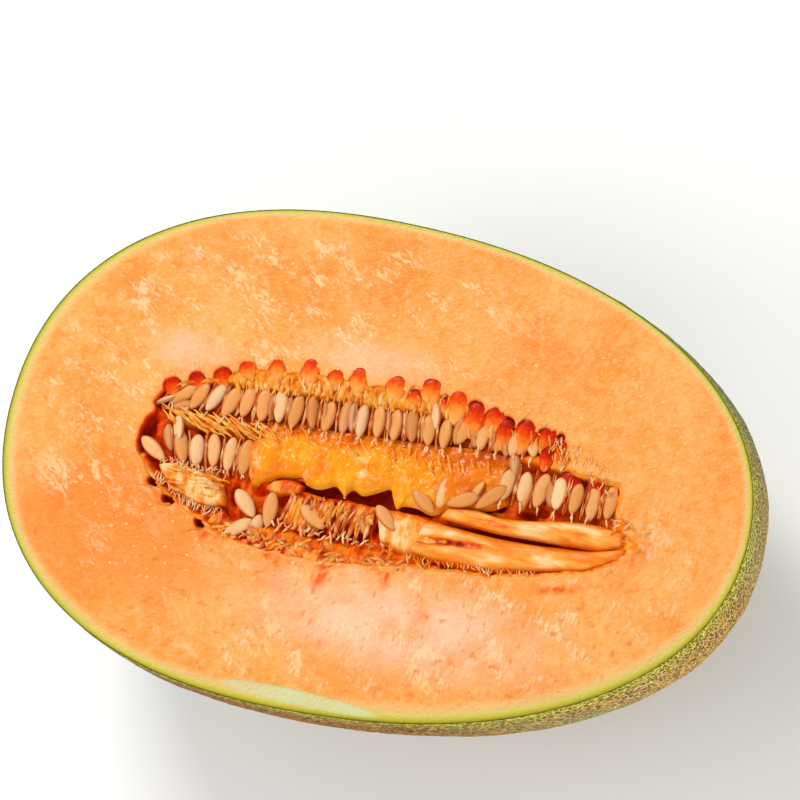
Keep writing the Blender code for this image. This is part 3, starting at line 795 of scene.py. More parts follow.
# %% Keep the part of the bed that lies inside the lip
tree_of_lip = KDTree(SPOKES)
for number, (x, y) in enumerate(lip):
    tree_of_lip.insert((x, y, 0), number)
tree_of_lip.balance()
flat_bed = np.stack([bed_x.ravel(), bed_y.ravel()], -1)
nearest = np.array([tree_of_lip.find((x, y, 0))[1] for x, y in flat_bed])
past_lip = ((flat_bed - lip[nearest]) * lip_normal[nearest]).sum(1)
bed_shade -= 0.3 * ease(-bed_x, 66, 74)
closed_lip = (ease(past_lip, -2.2, -0.2) * (1 - ease(lip_red[nearest], 0, 0.3))).reshape(bed_z.shape)
bed_z = bed_z * (1 - closed_lip) - 0.9 * closed_lip
bed_shade = bed_shade * (1 - closed_lip) + (0.74 + 0.2 * waves(bed_x, bed_y, 2.0, 48)) * closed_lip
bed_z -= (3.0 * ease(past_lip, 0.4, 2.0)).reshape(bed_z.shape)
bed_points, bed_faces = woven(np.stack([bed_x, bed_y, bed_z], -1))
keep = past_lip < 2.2
bed_faces = [face for face in bed_faces if keep[face].all()]
used = np.unique(bed_faces)
renumber = np.zeros(len(keep), int)
renumber[used] = np.arange(len(used))
bed_shape = (bed_points[used], renumber[np.array(bed_faces)].tolist())
print("bed:", len(bed_faces), "faces inside the lip")

# %% [markdown]
# ## The finish of the wet pulp
#
# Pulp is the same tissue as the flesh with more juice, so it is glossier and redder, and the deeper
# it lies the darker it is painted, as shade. It could have a material for each depth, but the changes
# are gradual. So one run of colours serves all of it, each point says its shade, and a noise adds the
# streaks.

# %% Finish of the wet pulp, from maroon through red to orange
SHADES = [(0.0, "#8A1402"), (0.14, "#A41C00"), (0.3, "#C83000"), (0.42, "#DE4A02"), (0.56, "#E8680A"),
          (0.72, "#F08A20"), (0.88, "#F6A646"), (1.0, "#FAC88A")]


def pulp_material(
    name, shade_attribute, streak_mm=1.0, streak_stretch=(1, 1, 1), wet=0.06, contrast=0.22, sheen=0.3
):
    """Pulp whose colour runs along SHADES, with darker and lighter streaks in it."""
    material, tree, shader, where = start_material(
        name, 0.34, soft=0.15, soft_mm=(2.5, 0.9, 0.3), wet=wet, sheen=sheen
    )
    grain = add(
        tree,
        "ShaderNodeMapping",
        {"Vector": where, "Scale": mm(streak_mm, streak_stretch)},
        vector_type="TEXTURE",
    ).outputs[0]
    settings = {"Vector": grain, "Scale": 1.0, "Detail": 4.0, "Roughness": 0.6}
    streaks = add(tree, "ShaderNodeTexNoise", settings).outputs["Fac"]
    shade = add(tree, "ShaderNodeAttribute", attribute_name=shade_attribute).outputs["Fac"]
    lift = add(
        tree, "ShaderNodeMapRange", {"Value": streaks, "To Min": -contrast, "To Max": contrast}
    ).outputs[0]
    total = add(tree, "ShaderNodeMath", {0: shade, 1: lift}, operation="ADD", use_clamp=True).outputs[0]
    colour = add(tree, "ShaderNodeValToRGB", {"Fac": total}, stops=SHADES).outputs[0]
    tree.links.new(colour, shader.inputs["Base Color"])
    bump = add(tree, "ShaderNodeBump", {"Height": streaks, "Strength": 0.6, "Distance": 0.0006})
    tree.links.new(bump.outputs[0], shader.inputs["Normal"])
    rough = add(tree, "ShaderNodeMapRange", {"Value": streaks, "To Min": 0.18, "To Max": 0.4}).outputs[0]
    tree.links.new(rough, shader.inputs["Roughness"])
    return material


red_finish = pulp_material("red_tissue", "shade", 2.2, wet=0.0, sheen=0.05)
bed = make("red_tissue_bed", [bed_shape], red_finish, shade=bed_shade.ravel()[used])

# %% [markdown]
# ## Jelly, torn lobe and strips
#
# What the knife left of the core lies over the bed in soft pieces: a band of yellow jelly along the
# tear, a lobe torn off at the left, and two long pale strips at the right. Each is drawn by its two
# long edges. A grid is woven between them, domed in the middle and tucked under at the sides.


# %% A soft piece between two edges
def soft_piece(
    first, second, top, dome, tuck, count, rows=26, rough=0.25, grain=(1.0, 1.0), seed=1, ends=0.06, sink=0.0
):
    """A domed sheet between two drawn edges, tucked under all round, with its share across and its fall.

    Where it sinks, its second edge runs down under its neighbours instead of being tucked.
    """
    low, high = route(first, count), route(second, count)
    across = np.linspace(0, 1, rows)[:, None, None]
    flat = low[None] * (1 - across) + high[None] * across
    u, v = np.meshgrid(np.linspace(0, 1, count), np.linspace(0, 1, rows))
    x, y = flat[..., 0], flat[..., 1]
    side = np.abs(2 * v - 1) * np.where((v > 0.5) & (sink > 0), 0.6, 1)
    end = np.clip(1 - np.minimum(u, 1 - u) / ends, 0, 1)
    fall = np.maximum(side**5, end**3)
    z = top + dome * (1 - side**2) * (1 - end**2) - tuck * fall
    z = z + rough * waves(x / grain[0], y / grain[1], 3.0, seed) * (1 - fall)
    z = z + 0.35 * rough * waves(x / grain[0], y / grain[1], 0.9, seed + 50, 2) * (1 - fall)
    z = z - sink * ease(v, 0.55, 0.95)
    points, faces = woven(np.stack([x, y, z], -1))
    return (points, faces), v.ravel(), fall.ravel()


# %% The jelly band, with its ragged lower edge
jelly_low = [
    (-38, -9), (-35, -12.5), (-31, -10.5), (-27, -8.2), (-23, -7.6), (-20, -7.0), (-18, -9.0),
    (-14, -9.6), (-11, -8.6), (-8.5, -7.6), (-6, -9.3), (-4.8, -10.6), (-4.2, -9.2), (-2.5, -7.6),
    (1, -8.8), (5, -7.2), (9, -5.2), (10.5, -7.6), (12.5, -10.8), (14.5, -9.6), (19, -9.4),
    (24, -10.6), (29, -8.4), (35, -6.6), (42, -5.8), (47, -3.0),
]
jelly_high = [
    (-40, 2), (-37, 8), (-24, 9.5), (-14, 9.5), (-4, 10), (8, 10.5), (20, 11), (30, 12), (40, 12),
    (47, 11),
]
jelly_shape, across, _ = soft_piece(
    jelly_low, jelly_high, -2.0, 0.9, 2.4, 300, 54, 0.8, (1.5, 1.6), 61, 0.05, 2.2
)
jx, jy = jelly_shape[0][:, 0], jelly_shape[0][:, 1]
jelly_shade = 0.74 + 0.2 * waves(jx, jy, 7.0, 62)
jelly_shade -= 0.2 * ease(jx, 18, 34) + 0.3 * ease(across, 0.6, 0.9)
jelly_shade -= 0.35 * ease(-jx, 33, 38) + 0.3 * ease(jx, 40, 46)
milky = ease(waves(jx, jy * 1.4, 4.5, 63), 0.25, 0.9)
jelly_pale = milky * 0.6 * ease(-jx, -30, -10) * ease(-across, -0.75, -0.5)
jelly_shade += 0.3 * ease(-across, -0.16, -0.04)
print("jelly band:", len(jx), "points")

# %% [markdown]
# ## The finish of the jelly
#
# Clear gel lets light deep in and has a smooth wet skin, so it glows yellow and shines sharply. True
# refraction would be noisy and would show the simple bed below, so light is let in a little by
# subsurface scattering instead, and a haze of paler and deeper yellow suggests the depth.

# %% Finish of the jelly: clear yellow gel over pulp
jelly_finish, tree, shader, where = start_material(
    "yellow_jelly", 0.2, soft=0.3, soft_mm=(3, 1.4, 0.3), wet=0.2, sheen=0.3
)
haze_place = add(
    tree, "ShaderNodeMapping", {"Vector": where, "Scale": mm(3.6, (1, 1.5, 1))}, vector_type="TEXTURE"
).outputs[0]
haze = add(
    tree, "ShaderNodeTexNoise", {"Vector": haze_place, "Scale": 1.0, "Detail": 3.0, "Distortion": 0.8}
).outputs["Fac"]
shade = add(tree, "ShaderNodeAttribute", attribute_name="shade").outputs["Fac"]
lift = add(tree, "ShaderNodeMapRange", {"Value": haze, "To Min": -0.25, "To Max": 0.25}).outputs[0]
total = add(tree, "ShaderNodeMath", {0: shade, 1: lift}, operation="ADD", use_clamp=True).outputs[0]
colour = add(
    tree,
    "ShaderNodeValToRGB",
    {"Fac": total},
    stops=[(0.1, "#D65C08"), (0.4, "#EE7A0C"), (0.6, "#F68A0A"), (0.8, "#FA9806"), (1.0, "#FCAC24")],
).outputs[0]
milk = add(tree, "ShaderNodeAttribute", attribute_name="pale").outputs["Fac"]
milk = add(tree, "ShaderNodeMath", {0: milk, 1: haze}, operation="MULTIPLY").outputs[0]
milk = add(tree, "ShaderNodeMapRange", {"Value": milk, "From Min": 0.15, "From Max": 0.6}).outputs[0]
colour = add(tree, "ShaderNodeMix", {0: milk, 6: colour, 7: paint("#F9D9A0")}, data_type="RGBA").outputs[2]
tree.links.new(colour, shader.inputs["Base Color"])
bump = add(tree, "ShaderNodeBump", {"Height": haze, "Strength": 0.4, "Distance": 0.001})
tree.links.new(bump.outputs[0], shader.inputs["Normal"])
jelly = make("jelly_band", [jelly_shape], jelly_finish, shade=jelly_shade, pale=jelly_pale)
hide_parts("upper_pulp")

# %% [markdown]
# ## The torn pulp
#
# Left of the tear lies a pale lobe, and below it a lower mass of short thick folds. All of them are
# the same kind of soft piece as the jelly, so a table gives each one's edges and settings.

# %% The torn lobe and the pieces of the lower mass
# Each piece: its two long edges, then height, dome, tuck, columns, rows, roughness, grain, seed and
# how soft its ends are, and last its shade from maroon 0 to orange 1 and how much that varies.
TORN = [
    (
        [(-67.5, -12), (-65, -16), (-61, -18.6), (-57, -21), (-52, -22.4), (-47, -22), (-42, -20.6)],
        [(-67, -11.4), (-61, -10), (-55, -10.6), (-49, -10.2), (-46, -12.6), (-44.5, -15), (-42, -19.4)],
        (-1.5, 1.3, 2.6, 120, 36, 0.6, (3.0, 0.7), 64, 0.05), 0.86, 0.14,
    ),
    (
        [(-31, -13.5), (-26, -14.3), (-19, -12.6)],
        [(-28, -9.3), (-23, -8.2), (-18, -9.6)],
        (-1.9, 0.6, 2.4, 50, 20, 0.4, (1.0, 1.6), 65), 0.56, 0.1,
    ),
    (
        [(-22, -24), (-17, -24.3), (-11, -23)],
        [(-20, -11.6), (-14, -11.6), (-6.5, -11.8)],
        (-2.0, 0.8, 2.6, 64, 40, 0.7, (0.55, 4.0), 66), 0.54, 0.26,
    ),
    (
        [(-6, -19), (-1, -19.6), (6, -18)],
        [(-6, -11.6), (0, -11.4), (7, -11.4)],
        (-2.1, 0.6, 2.4, 60, 30, 0.6, (0.6, 4.0), 67), 0.6, 0.26,
    ),
    (
        [(10, -22), (16, -24.5), (24, -24.6), (33, -24)],
        [(6.5, -11.6), (14, -11.4), (22, -11.6), (32, -13)],
        (-2.0, 0.7, 2.4, 90, 34, 0.6, (1.6, 0.9), 68), 0.86, 0.1,
    ),
    (
        [(-38, -31), (-26, -33.5), (-14, -34.5), (-2, -33.5), (8, -31)],
        [(-36, -29.5), (-26, -29), (-14, -27.5), (-2, -27.5), (8, -26.5)],
        (-1.6, 1.0, 1.8, 160, 20, 0.7, (0.8, 1.6), 69, 0.04), 0.48, 0.22,
    ),
    (
        [(-47, -27.5), (-42, -28.5), (-37, -29.5)],
        [(-45, -22.5), (-42, -21.5), (-38.5, -26)],
        (-2.2, 0.6, 2.0, 50, 18, 0.5, (1.0, 1.0), 70), 0.55, 0.1,
    ),
]
torn_shapes, torn_shades = [], []
for first, second, settings, shade, spread in TORN:
    shape, _, fall = soft_piece(first, second, *settings)
    x, y = shape[0][:, 0], shape[0][:, 1]
    torn_shapes.append(shape)
    # The tucked edges are painted darker: painted shade where the piece curls under.
    torn_shades.append(shade + (0.16 + spread) * waves(x * 1.2, y * 0.5, 2.6, 71) - 0.28 * fall)
print(len(torn_shapes), "torn pieces")

# %% Finish of the torn pulp: wet red to orange tissue, streaked along the tear
torn_finish = pulp_material("torn_pulp", "shade", 1.0, (0.8, 2.6, 1))
torn_pulp = make("torn_pulp", torn_shapes, torn_finish, shade=np.concatenate(torn_shades))
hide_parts("left_pulp_lobe", "lower_pulp")

# %% [markdown]
# ## The pale strips
#
# Two long strips of pulp lie side by side at the right, split by a sunk crack that is painted dark as
# shade. Fibres run along them, so both their relief and their streaks are drawn out lengthwise.

# %% The two long strips
upper_strip = soft_piece(
    [(27, -11.2), (36, -11.8), (46, -12.4), (56, -12.2), (68, -11.9), (78, -11.6), (85, -9.6)],
    [(29, -7.4), (38, -6.4), (46, -7.2), (56, -6.2), (64, -4.6), (74, -3.8), (86, -4.2)],
    -1.3, 0.8, 2.4, 190, 30, 0.3, (3.5, 0.8), 72, 0.03,
)
lower_strip = soft_piece(
    [(20, -23.5), (30, -25), (44, -24.8), (56, -22.8), (66, -20.4), (76, -18.5), (88, -12)],
    [(23, -12.6), (30, -12.8), (44, -13.6), (56, -13.5), (66, -12.8), (76, -11.8), (87, -9.0)],
    -1.3, 0.9, 2.4, 220, 40, 0.3, (3.5, 0.8), 73, 0.03,
)
strip_shapes, strip_shades = [], []
for shape, _, fall in (upper_strip, lower_strip):
    x, y = shape[0][:, 0], shape[0][:, 1]
    crack = np.exp(-(((y + 18.2 - 0.08 * (x - 32)) / 1.1) ** 2)) * ease(x, 20, 24) * ease(-x, -47, -38)
    crack = crack * (0.75 + 0.25 * waves(x, y, 2.0, 75))
    shape[0][:, 2] -= 1.6 * crack
    # The tucked edges and the crack are painted darker: painted shade over the tissue's own tone.
    shade = 0.86 + 0.2 * waves(x / 4, y, 2.0, 74) - 0.3 * fall - 0.16 * ease(x, 74, 84) - 1.0 * crack
    strip_shapes.append(shape)
    strip_shades.append(shade)
strip_finish = pulp_material("pale_strips", "shade", 0.9, (5.0, 1, 1), wet=0.15, contrast=0.13)
strips = make("pulp_strips", strip_shapes, strip_finish, shade=np.concatenate(strip_shades))
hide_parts("upper_pulp_strip", "lower_pulp_strip")

# %% [markdown]
# ## Seeds
#
# A melon seed is a flat egg with a thin raised margin, drawn to a point where it hung from its
# thread. Its coat is cream and smooth, and a film of gel makes it shine. The solid model says where
# each one lies. A few more stand on edge between them, half hidden, and are listed one by one.


# %% One seed as a grid from one face over the margin to the other
def seed_shape(
    centre, long_axis, thin_axis, length, width, thickness, point=0.66, swing=0.14, rows=15, around=20
):
    """A flat egg: rings of points about its long axis, from its pointed end to its round one."""
    long_axis = long_axis / np.linalg.norm(long_axis)
    side = np.cross(long_axis, thin_axis)
    side /= np.linalg.norm(side)
    thin = np.cross(side, long_axis)
    turn = np.linspace(0, 2 * math.pi, around, endpoint=False)
    place = -np.cos(np.linspace(0.02, math.pi - 0.02, rows))
    ring = (1 - place**2) ** point * (1 + swing * place)
    across = np.cos(turn)
    height = (1 - place**2) ** 0.42
    swell = np.sign(np.sin(turn)) * np.abs(np.sin(turn)) ** 0.72
    margin = 1 - 0.14 * np.exp(-(((np.abs(across) - 0.86) / 0.06) ** 2))
    points = (
        centre
        + long_axis * (place * length / 2)[:, None, None]
        + side * (ring[:, None] * across * width / 2)[..., None]
        + thin * (height[:, None] * swell * margin * thickness / 2)[..., None]
    )
    grid_points, faces = woven(points, closed=True)
    faces.append(list(range(around))[::-1])
    faces.append(list(range(len(grid_points) - around, len(grid_points))))
    gel = np.repeat((place + 1) / 2, around)
    margin_share = np.maximum(
        ease(np.abs(across), 0.62, 1.0)[None] ** 1.5, ease(np.abs(place), 0.86, 1.0)[:, None]
    )
    return (grid_points, faces), gel, margin_share.ravel()


# %% Seeds where the solid model has them
# Each seed leans, rolls and swells a little, and a seed in a pocket wears a cap of red gel.
rng = np.random.default_rng(5)
seed_shapes, seed_margin, seed_cap, seed_tints, seed_names = [], [], [], [], []
for name, centre, long_axis, thin_axis, size in seeds:
    lean = Matrix.Rotation(rng.uniform(-0.13, 0.13), 3, "Z")
    most = 0.6 if "upper_row" in name and centre[0] > -22 else 0.35
    roll = Matrix.Rotation(rng.uniform(-most, most), 3, Vector(long_axis))
    centre = np.array(
        [centre[0], centre[1], max(centre[2], -2.6 if "row" in name or "pocket" in name else -1.4)]
    )
    shape, gel, margin = seed_shape(
        centre + [0, rng.uniform(-0.8, 0.8), rng.uniform(-0.2, 0.3)],
        np.array(lean @ Vector(long_axis)),
        np.array(roll @ (Vector(thin_axis) * 0.4 + Vector((0, 0, 0.6)))),
        size[0] * rng.uniform(0.92, 1.1),
        size[1] * rng.uniform(0.84, 1.05),
        size[2],
    )
    capped = "pocket" in name
    seed_shapes.append(shape)
    seed_margin.append(margin)
    seed_cap.append(ease(gel + rng.uniform(-0.1, 0.1), 0.48, 0.98) * capped)
    seed_tints.append(rng.uniform(0, 1))
    seed_names.append(name)
print(len(seed_shapes), "seeds from the solid model")

# %% Seeds that stand on edge between the others: place, lean in degrees, and how flat they lie
EDGE_SEEDS = [
    (-71, 9.6, -60, 0.25), (-64.5, 8.0, -70, 0.4), (-34.8, 13.4, 3, 0.2), (-29.6, 13.6, 4, 0.2),
    (-17.6, 13.8, 6, 0.25), (-8, 14.6, 8, 0.2), (3.6, 14.8, 10, 0.2), (9, 15, 12, 0.2),
    (15, 15.5, 14, 0.3), (18.2, 20, 18, 0.7), (27, 16.8, -8, 0.4), (32, 17, 12, 0.3),
    (37.5, 16.4, 10, 0.35), (42.6, 15.6, 8, 0.3), (46.8, 9.4, 15, 0.3), (52.5, 0.4, -10, 0.25),
    (60, 2.6, 8, 0.35), (-66.5, -2.6, 20, 0.3), (-64, 0.6, 15, 0.7), (-42.3, -4.6, 0, 0.3),
    (-23.5, -29.2, 30, 0.5), (-30.4, -26, -8, 0.7), (-30, -29, 60, 0.4), (36.8, -0.8, -20, 0.6),
    (4, -17, 20, 0.4),
]
for x, y, lean, share in EDGE_SEEDS:
    turn = math.radians(lean)
    long_axis = np.array([-math.sin(turn), math.cos(turn), 0.0])
    tip = math.radians(70 - 60 * share) * rng.choice([-1, 1])
    thin_axis = np.array([math.cos(turn) * math.sin(tip), math.sin(turn) * math.sin(tip), math.cos(tip)])
    length = seed_length * rng.uniform(0.75, 0.95)
    depth = -0.8 - seed_width / 2 * abs(math.sin(tip))
    shape, gel, margin = seed_shape(
        np.array([x, y, depth]), long_axis, thin_axis, length, seed_width * 0.9, seed_thickness * 0.8
    )
    seed_shapes.append(shape)
    seed_margin.append(margin)
    seed_cap.append(0 * gel)
    seed_tints.append(rng.uniform(0.3, 1))
print(len(seed_shapes), "seeds in all")

# %% [markdown]
# ## Bulbs of gel
#
# Above the upper row the knife has opened the sacs in which the seeds sat. Each is a fat drop of
# red gel that shows in its pocket. A bulb is the seed's shape made fatter and blunter, and it leans
# away from the middle of the row, so the helper that made the seeds makes the bulbs too.

# %% Bulbs of red gel in the pockets above the upper row
bulb_shapes, bulb_gel, bulb_tints = [], [], []
for number, (x, y, size, in_shadow) in enumerate(POCKETS[:25]):
    slope = np.interp(x, [-72, -50, 0, 40, 70], [40, 18, 2, -6, -22])
    turn = math.radians(slope + rng.uniform(-5, 5))
    outward = np.array([-math.sin(turn), math.cos(turn), 0.12])
    long = 1.3 if 24 < x < 62 and number < 22 else 1.0
    place = np.array([x, y - 0.8 - 2.2 * (long - 1) * size, -1.4 - 0.9 * in_shadow - 1.2 * (number > 21)])
    shape, gel, margin = seed_shape(
        place,
        outward,
        np.array([0.0, 0.0, 1.0]),
        size * 3.1 * long,
        size * (2.2 + 0.3 * (x > 10)),
        3.0,
        0.5,
        0.3,
    )
    bulb_shapes.append(shape)
    # The gel is painted deeper red towards its outer end, its edges and in the darker pockets: partly the red
    # of the gel, partly painted shade.
    bulb_gel.append(gel * 0.8 - 0.08 + 0.22 * margin + 0.4 * in_shadow)
    bulb_tints.append(in_shadow)
print(len(bulb_shapes), "bulbs")

# %% Finish of the bulbs: thick red gel, smooth and wet
# Gel is nearly all water, so it is glossy. Its run from orange to deep red is partly the gel's own red
# and partly painted shade.
bulb_finish, tree, shader, where = start_material(
    "red_gel", 0.26, soft=0.08, soft_mm=(2, 0.5, 0.2), wet=0.06, sheen=0.1
)
gel = add(tree, "ShaderNodeAttribute", attribute_name="gel").outputs["Fac"]
mist_place = add(
    tree, "ShaderNodeMapping", {"Vector": where, "Scale": mm(1.6)}, vector_type="TEXTURE"
).outputs[0]
mist = add(tree, "ShaderNodeTexNoise", {"Vector": mist_place, "Scale": 1.0, "Detail": 3.0}).outputs["Fac"]
lift = add(tree, "ShaderNodeMapRange", {"Value": mist, "To Min": -0.2, "To Max": 0.2}).outputs[0]
total = add(tree, "ShaderNodeMath", {0: gel, 1: lift}, operation="ADD", use_clamp=True).outputs[0]
colour = add(
    tree,
    "ShaderNodeValToRGB",
    {"Fac": total},
    stops=[(0.12, "#F4A656"), (0.38, "#F0842A"), (0.56, "#E64A06"), (0.75, "#C42000"), (1.0, "#820C00")],
).outputs[0]
tree.links.new(colour, shader.inputs["Base Color"])
bump = add(tree, "ShaderNodeBump", {"Height": mist, "Strength": 0.3, "Distance": 0.0005})
tree.links.new(bump.outputs[0], shader.inputs["Normal"])
bulbs = make("gel_bulbs", bulb_shapes, bulb_finish, tints=bulb_tints, gel=np.concatenate(bulb_gel))

# %% [markdown]
# ## The finish of the seeds
#
# A seed coat is smooth and woody, so it has a soft shine and takes its warm tint from the juice.
# Every seed has its own tone, kept as an attribute, because one colour for all looks like plastic.
# It is darker along its margin, partly a film of gel and partly painted shade, and it is painted
# darker where it sinks into the pulp, as shade, so that each seed stands apart.

# %% Seed finish: cream coat under a film of gel
seed_finish, tree, shader, where = start_material(
    "seed_coat", 0.36, ior=1.45, soft=0.2, soft_mm=(1.5, 0.8, 0.3), wet=0.08, sheen=0.18
)
tint = add(tree, "ShaderNodeAttribute", attribute_name="tint").outputs["Fac"]
colour = add(
    tree,
    "ShaderNodeValToRGB",
    {"Fac": tint},
    stops=[(0.0, "#DC924A"), (0.4, "#E49E5A"), (0.75, "#EAB072"), (1.0, "#F4CA98")],
).outputs[0]
coat_place = add(
    tree, "ShaderNodeMapping", {"Vector": where, "Scale": mm(1.3, (0.8, 2.6, 1))}, vector_type="TEXTURE"
).outputs[0]
coat = add(
    tree, "ShaderNodeTexNoise", {"Vector": coat_place, "Scale": 1.0, "Detail": 3.0}
).outputs["Fac"]
stain = add(tree, "ShaderNodeMapRange", {"Value": coat, "From Min": 0.5, "From Max": 0.8}).outputs[0]
stain = add(tree, "ShaderNodeMath", {0: stain, 1: 0.5}, operation="MULTIPLY").outputs[0]
colour = add(tree, "ShaderNodeMix", {0: stain, 6: colour, 7: paint("#D98A48")}, data_type="RGBA").outputs[2]
# The margin is darker: partly a brown film of gel, partly painted shade at the rounded edge.
margin_gel_and_shade = add(tree, "ShaderNodeAttribute", attribute_name="margin").outputs["Fac"]
margin_gel_and_shade = add(tree, "ShaderNodeMath", {0: margin_gel_and_shade, 1: 0.8}, operation="MULTIPLY").outputs[0]
colour = add(tree, "ShaderNodeMix", {0: margin_gel_and_shade, 6: colour, 7: paint("#B0541A")}, data_type="RGBA").outputs[2]
# Lower down the seed is painted darker: painted shade where it sinks into the pulp.
low = add(tree, "ShaderNodeSeparateXYZ", {"Vector": where}).outputs["Z"]
low = add(
    tree,
    "ShaderNodeMapRange",
    {"Value": low, "From Min": (CUT_HEIGHT - 2.2) * 0.001, "From Max": (CUT_HEIGHT - 3.8) * 0.001},
).outputs[0]
low = add(tree, "ShaderNodeMath", {0: low, 1: 0.75}, operation="MULTIPLY").outputs[0]
colour = add(tree, "ShaderNodeMix", {0: low, 6: colour, 7: paint("#9A3C10")}, data_type="RGBA").outputs[2]
cap = add(tree, "ShaderNodeAttribute", attribute_name="cap").outputs["Fac"]
cap_colour = add(
    tree, "ShaderNodeValToRGB", {"Fac": cap}, stops=[(0.0, "#E89040"), (0.5, "#DE4E0A"), (1.0, "#B01E02")]
).outputs[0]
cap_share = add(tree, "ShaderNodeMapRange", {"Value": cap, "From Min": 0.0, "From Max": 0.7}).outputs[0]
colour = add(tree, "ShaderNodeMix", {0: cap_share, 6: colour, 7: cap_colour}, data_type="RGBA").outputs[2]
tree.links.new(colour, shader.inputs["Base Color"])
bump = add(tree, "ShaderNodeBump", {"Height": coat, "Strength": 0.25, "Distance": 0.0003})
tree.links.new(bump.outputs[0], shader.inputs["Normal"])
seed_piece = make(
    "seeds",
    seed_shapes,
    seed_finish,
    tints=seed_tints,
    margin=np.concatenate(seed_margin),
    cap=np.concatenate(seed_cap),
)
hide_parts(*seed_names)

# %% [markdown]
# ## Membranes, fibres and threads
#
# Thin walls of pulp stand between the seeds, strands of fibre cross from side to side, and every
# seed hangs from a short white thread. All of these follow a path, so each is kept as a line of
# points with a thickness, and one Geometry Nodes tree turns the lines into round strands.

# %% Lines of pulp: walls between seeds, fibres, and white threads
rng = np.random.default_rng(12)
lines = {"membrane": [], "fibre": [], "white_thread": []}


def line(kind, start, end, thick, bow=0.0, rise=0.0, count=7):
    """Adds a line from start to end that bows sideways and rises in its middle."""
    start, end = np.array(start, float), np.array(end, float)
    share = np.linspace(0, 1, count)[:, None]
    reach = end - start
    side = np.array([-reach[1], reach[0], 0]) / max(np.hypot(reach[0], reach[1]), 0.01)
    path = start + reach * share + (side * bow + [0, 0, rise]) * np.sin(math.pi * share)
    path = path + rng.normal(0, 0.12, path.shape)
    lines[kind].append((path, thick * (0.35 + 0.65 * np.sin(math.pi * (0.08 + 0.84 * share[:, 0])))))


# %% Walls beside each seed of a row, and the threads that it hangs from
for name, centre, long_axis, thin_axis, size in seeds:
    if "row" not in name:
        continue
    across = np.array([long_axis[1], -long_axis[0], 0])
    for offset in (-2.75, -2.35):
        middle_of = centre + across * (offset + rng.uniform(-0.25, 0.25))
        reach = long_axis * size[0] * rng.uniform(0.45, 0.62)
        top = -1.3 + rng.uniform(-0.5, 0.3)
        low_end, high_end = middle_of - reach, middle_of + reach
        low_end[2], high_end[2] = top - 0.9, top - 0.6
        line("membrane", low_end, high_end, rng.uniform(0.24, 0.5), rng.uniform(-0.9, 0.3), 0.6, 9)
    tip = centre - long_axis * size[0] * 0.46
    for _ in range(2):
        far = tip + [rng.uniform(-1.2, 1.2), -rng.uniform(1.5, 3.6), 0]
        tip[2], far[2] = -1.9, -1.5 + rng.uniform(-0.4, 0.3)
        line("white_thread", tip, far, rng.uniform(0.16, 0.34), rng.uniform(-0.4, 0.4), 0.3)
print({kind: len(made) for kind, made in lines.items()})

# %% Fibres at the left end, and between the upper row and the lip
for x in np.arange(-73, -37, 1.2):
    start = (x, 7.4 + rng.uniform(-1.8, 1.0), -2.1)
    end = (x + rng.uniform(6, 15), 1.8 + rng.uniform(-1.2, 1.8), -2.2)
    line("fibre", start, end, rng.uniform(0.25, 0.65), rng.uniform(-1.2, 1.2), 0.6, 12)
for x in np.arange(-48, 60, 1.1):
    y = np.interp(x, [-48, -30, 23, 60], [17.0, 18.5, 20.5, 14.5])
    start = (x, y + rng.uniform(-1.6, 1), -1.8)
    end = (x + rng.uniform(-2.0, 0.8), y + rng.uniform(2.0, 6.0), -1.0 + rng.uniform(-0.3, 0.5))
    kind = "fibre" if rng.random() < 0.93 else "white_thread"
    line(kind, start, end, rng.uniform(0.25, 0.9) * (1 if x < 30 else 0.5), rng.uniform(-0.8, 0.8), 0.2, 8)
print({kind: len(made) for kind, made in lines.items()})

# %% Strands over the lower mass and along the lower lip
for x in np.arange(-21, 8, 0.75):
    start = (x + rng.uniform(-1.0, 1.0), -11.6 - rng.uniform(0, 3), -1.9)
    end = (x + rng.uniform(-4.0, 1.2), -16 - rng.uniform(0, 8), -2.0)
    kind = "fibre" if rng.random() < 0.45 else "membrane"
    line(kind, start, end, rng.uniform(0.3, 0.9), rng.uniform(-0.9, 0.9), 0.5, 9)
for x in np.arange(-26, 16, 1.0):
    start = (x, -22.6 + rng.uniform(-1.5, 1.5), -1.8)
    end = (x + rng.uniform(-2.2, 2.2), -24.5 + rng.uniform(-1.8, 1.5), -1.0)
    kind = ("white_thread", "fibre", "membrane")[rng.integers(3)]
    line(kind, start, end, rng.uniform(0.14, 0.5), rng.uniform(-0.5, 0.5), 0.3)
for x in np.arange(-42, 24, 1.0):
    y = -28 + rng.uniform(-2.5, 2.0) + 0.05 * abs(x)
    start = (x, y, -1.5)
    end = (x + rng.uniform(2, 6) * rng.choice([-1, 1]), y - rng.uniform(1, 4.5), -0.8)
    kind = "fibre" if rng.random() < 0.5 else "membrane"
    line(kind, start, end, rng.uniform(0.3, 0.9), rng.uniform(-1, 1), 0.2, 8)
for share in np.linspace(0, 1, 46):
    x = 20 + 52 * share
    y = -24.4 + 4.4 * share**2
    start = (x, y + rng.uniform(-0.3, 0.6), -1.9)
    end = (x + rng.uniform(-0.4, 2.4), y - rng.uniform(1.0, 3.2), -0.6)
    kind = "fibre" if rng.random() < 0.5 else "white_thread"
    line(kind, start, end, rng.uniform(0.14, 0.3), rng.uniform(-0.4, 0.4), 0.2)
print({kind: len(made) for kind, made in lines.items()})

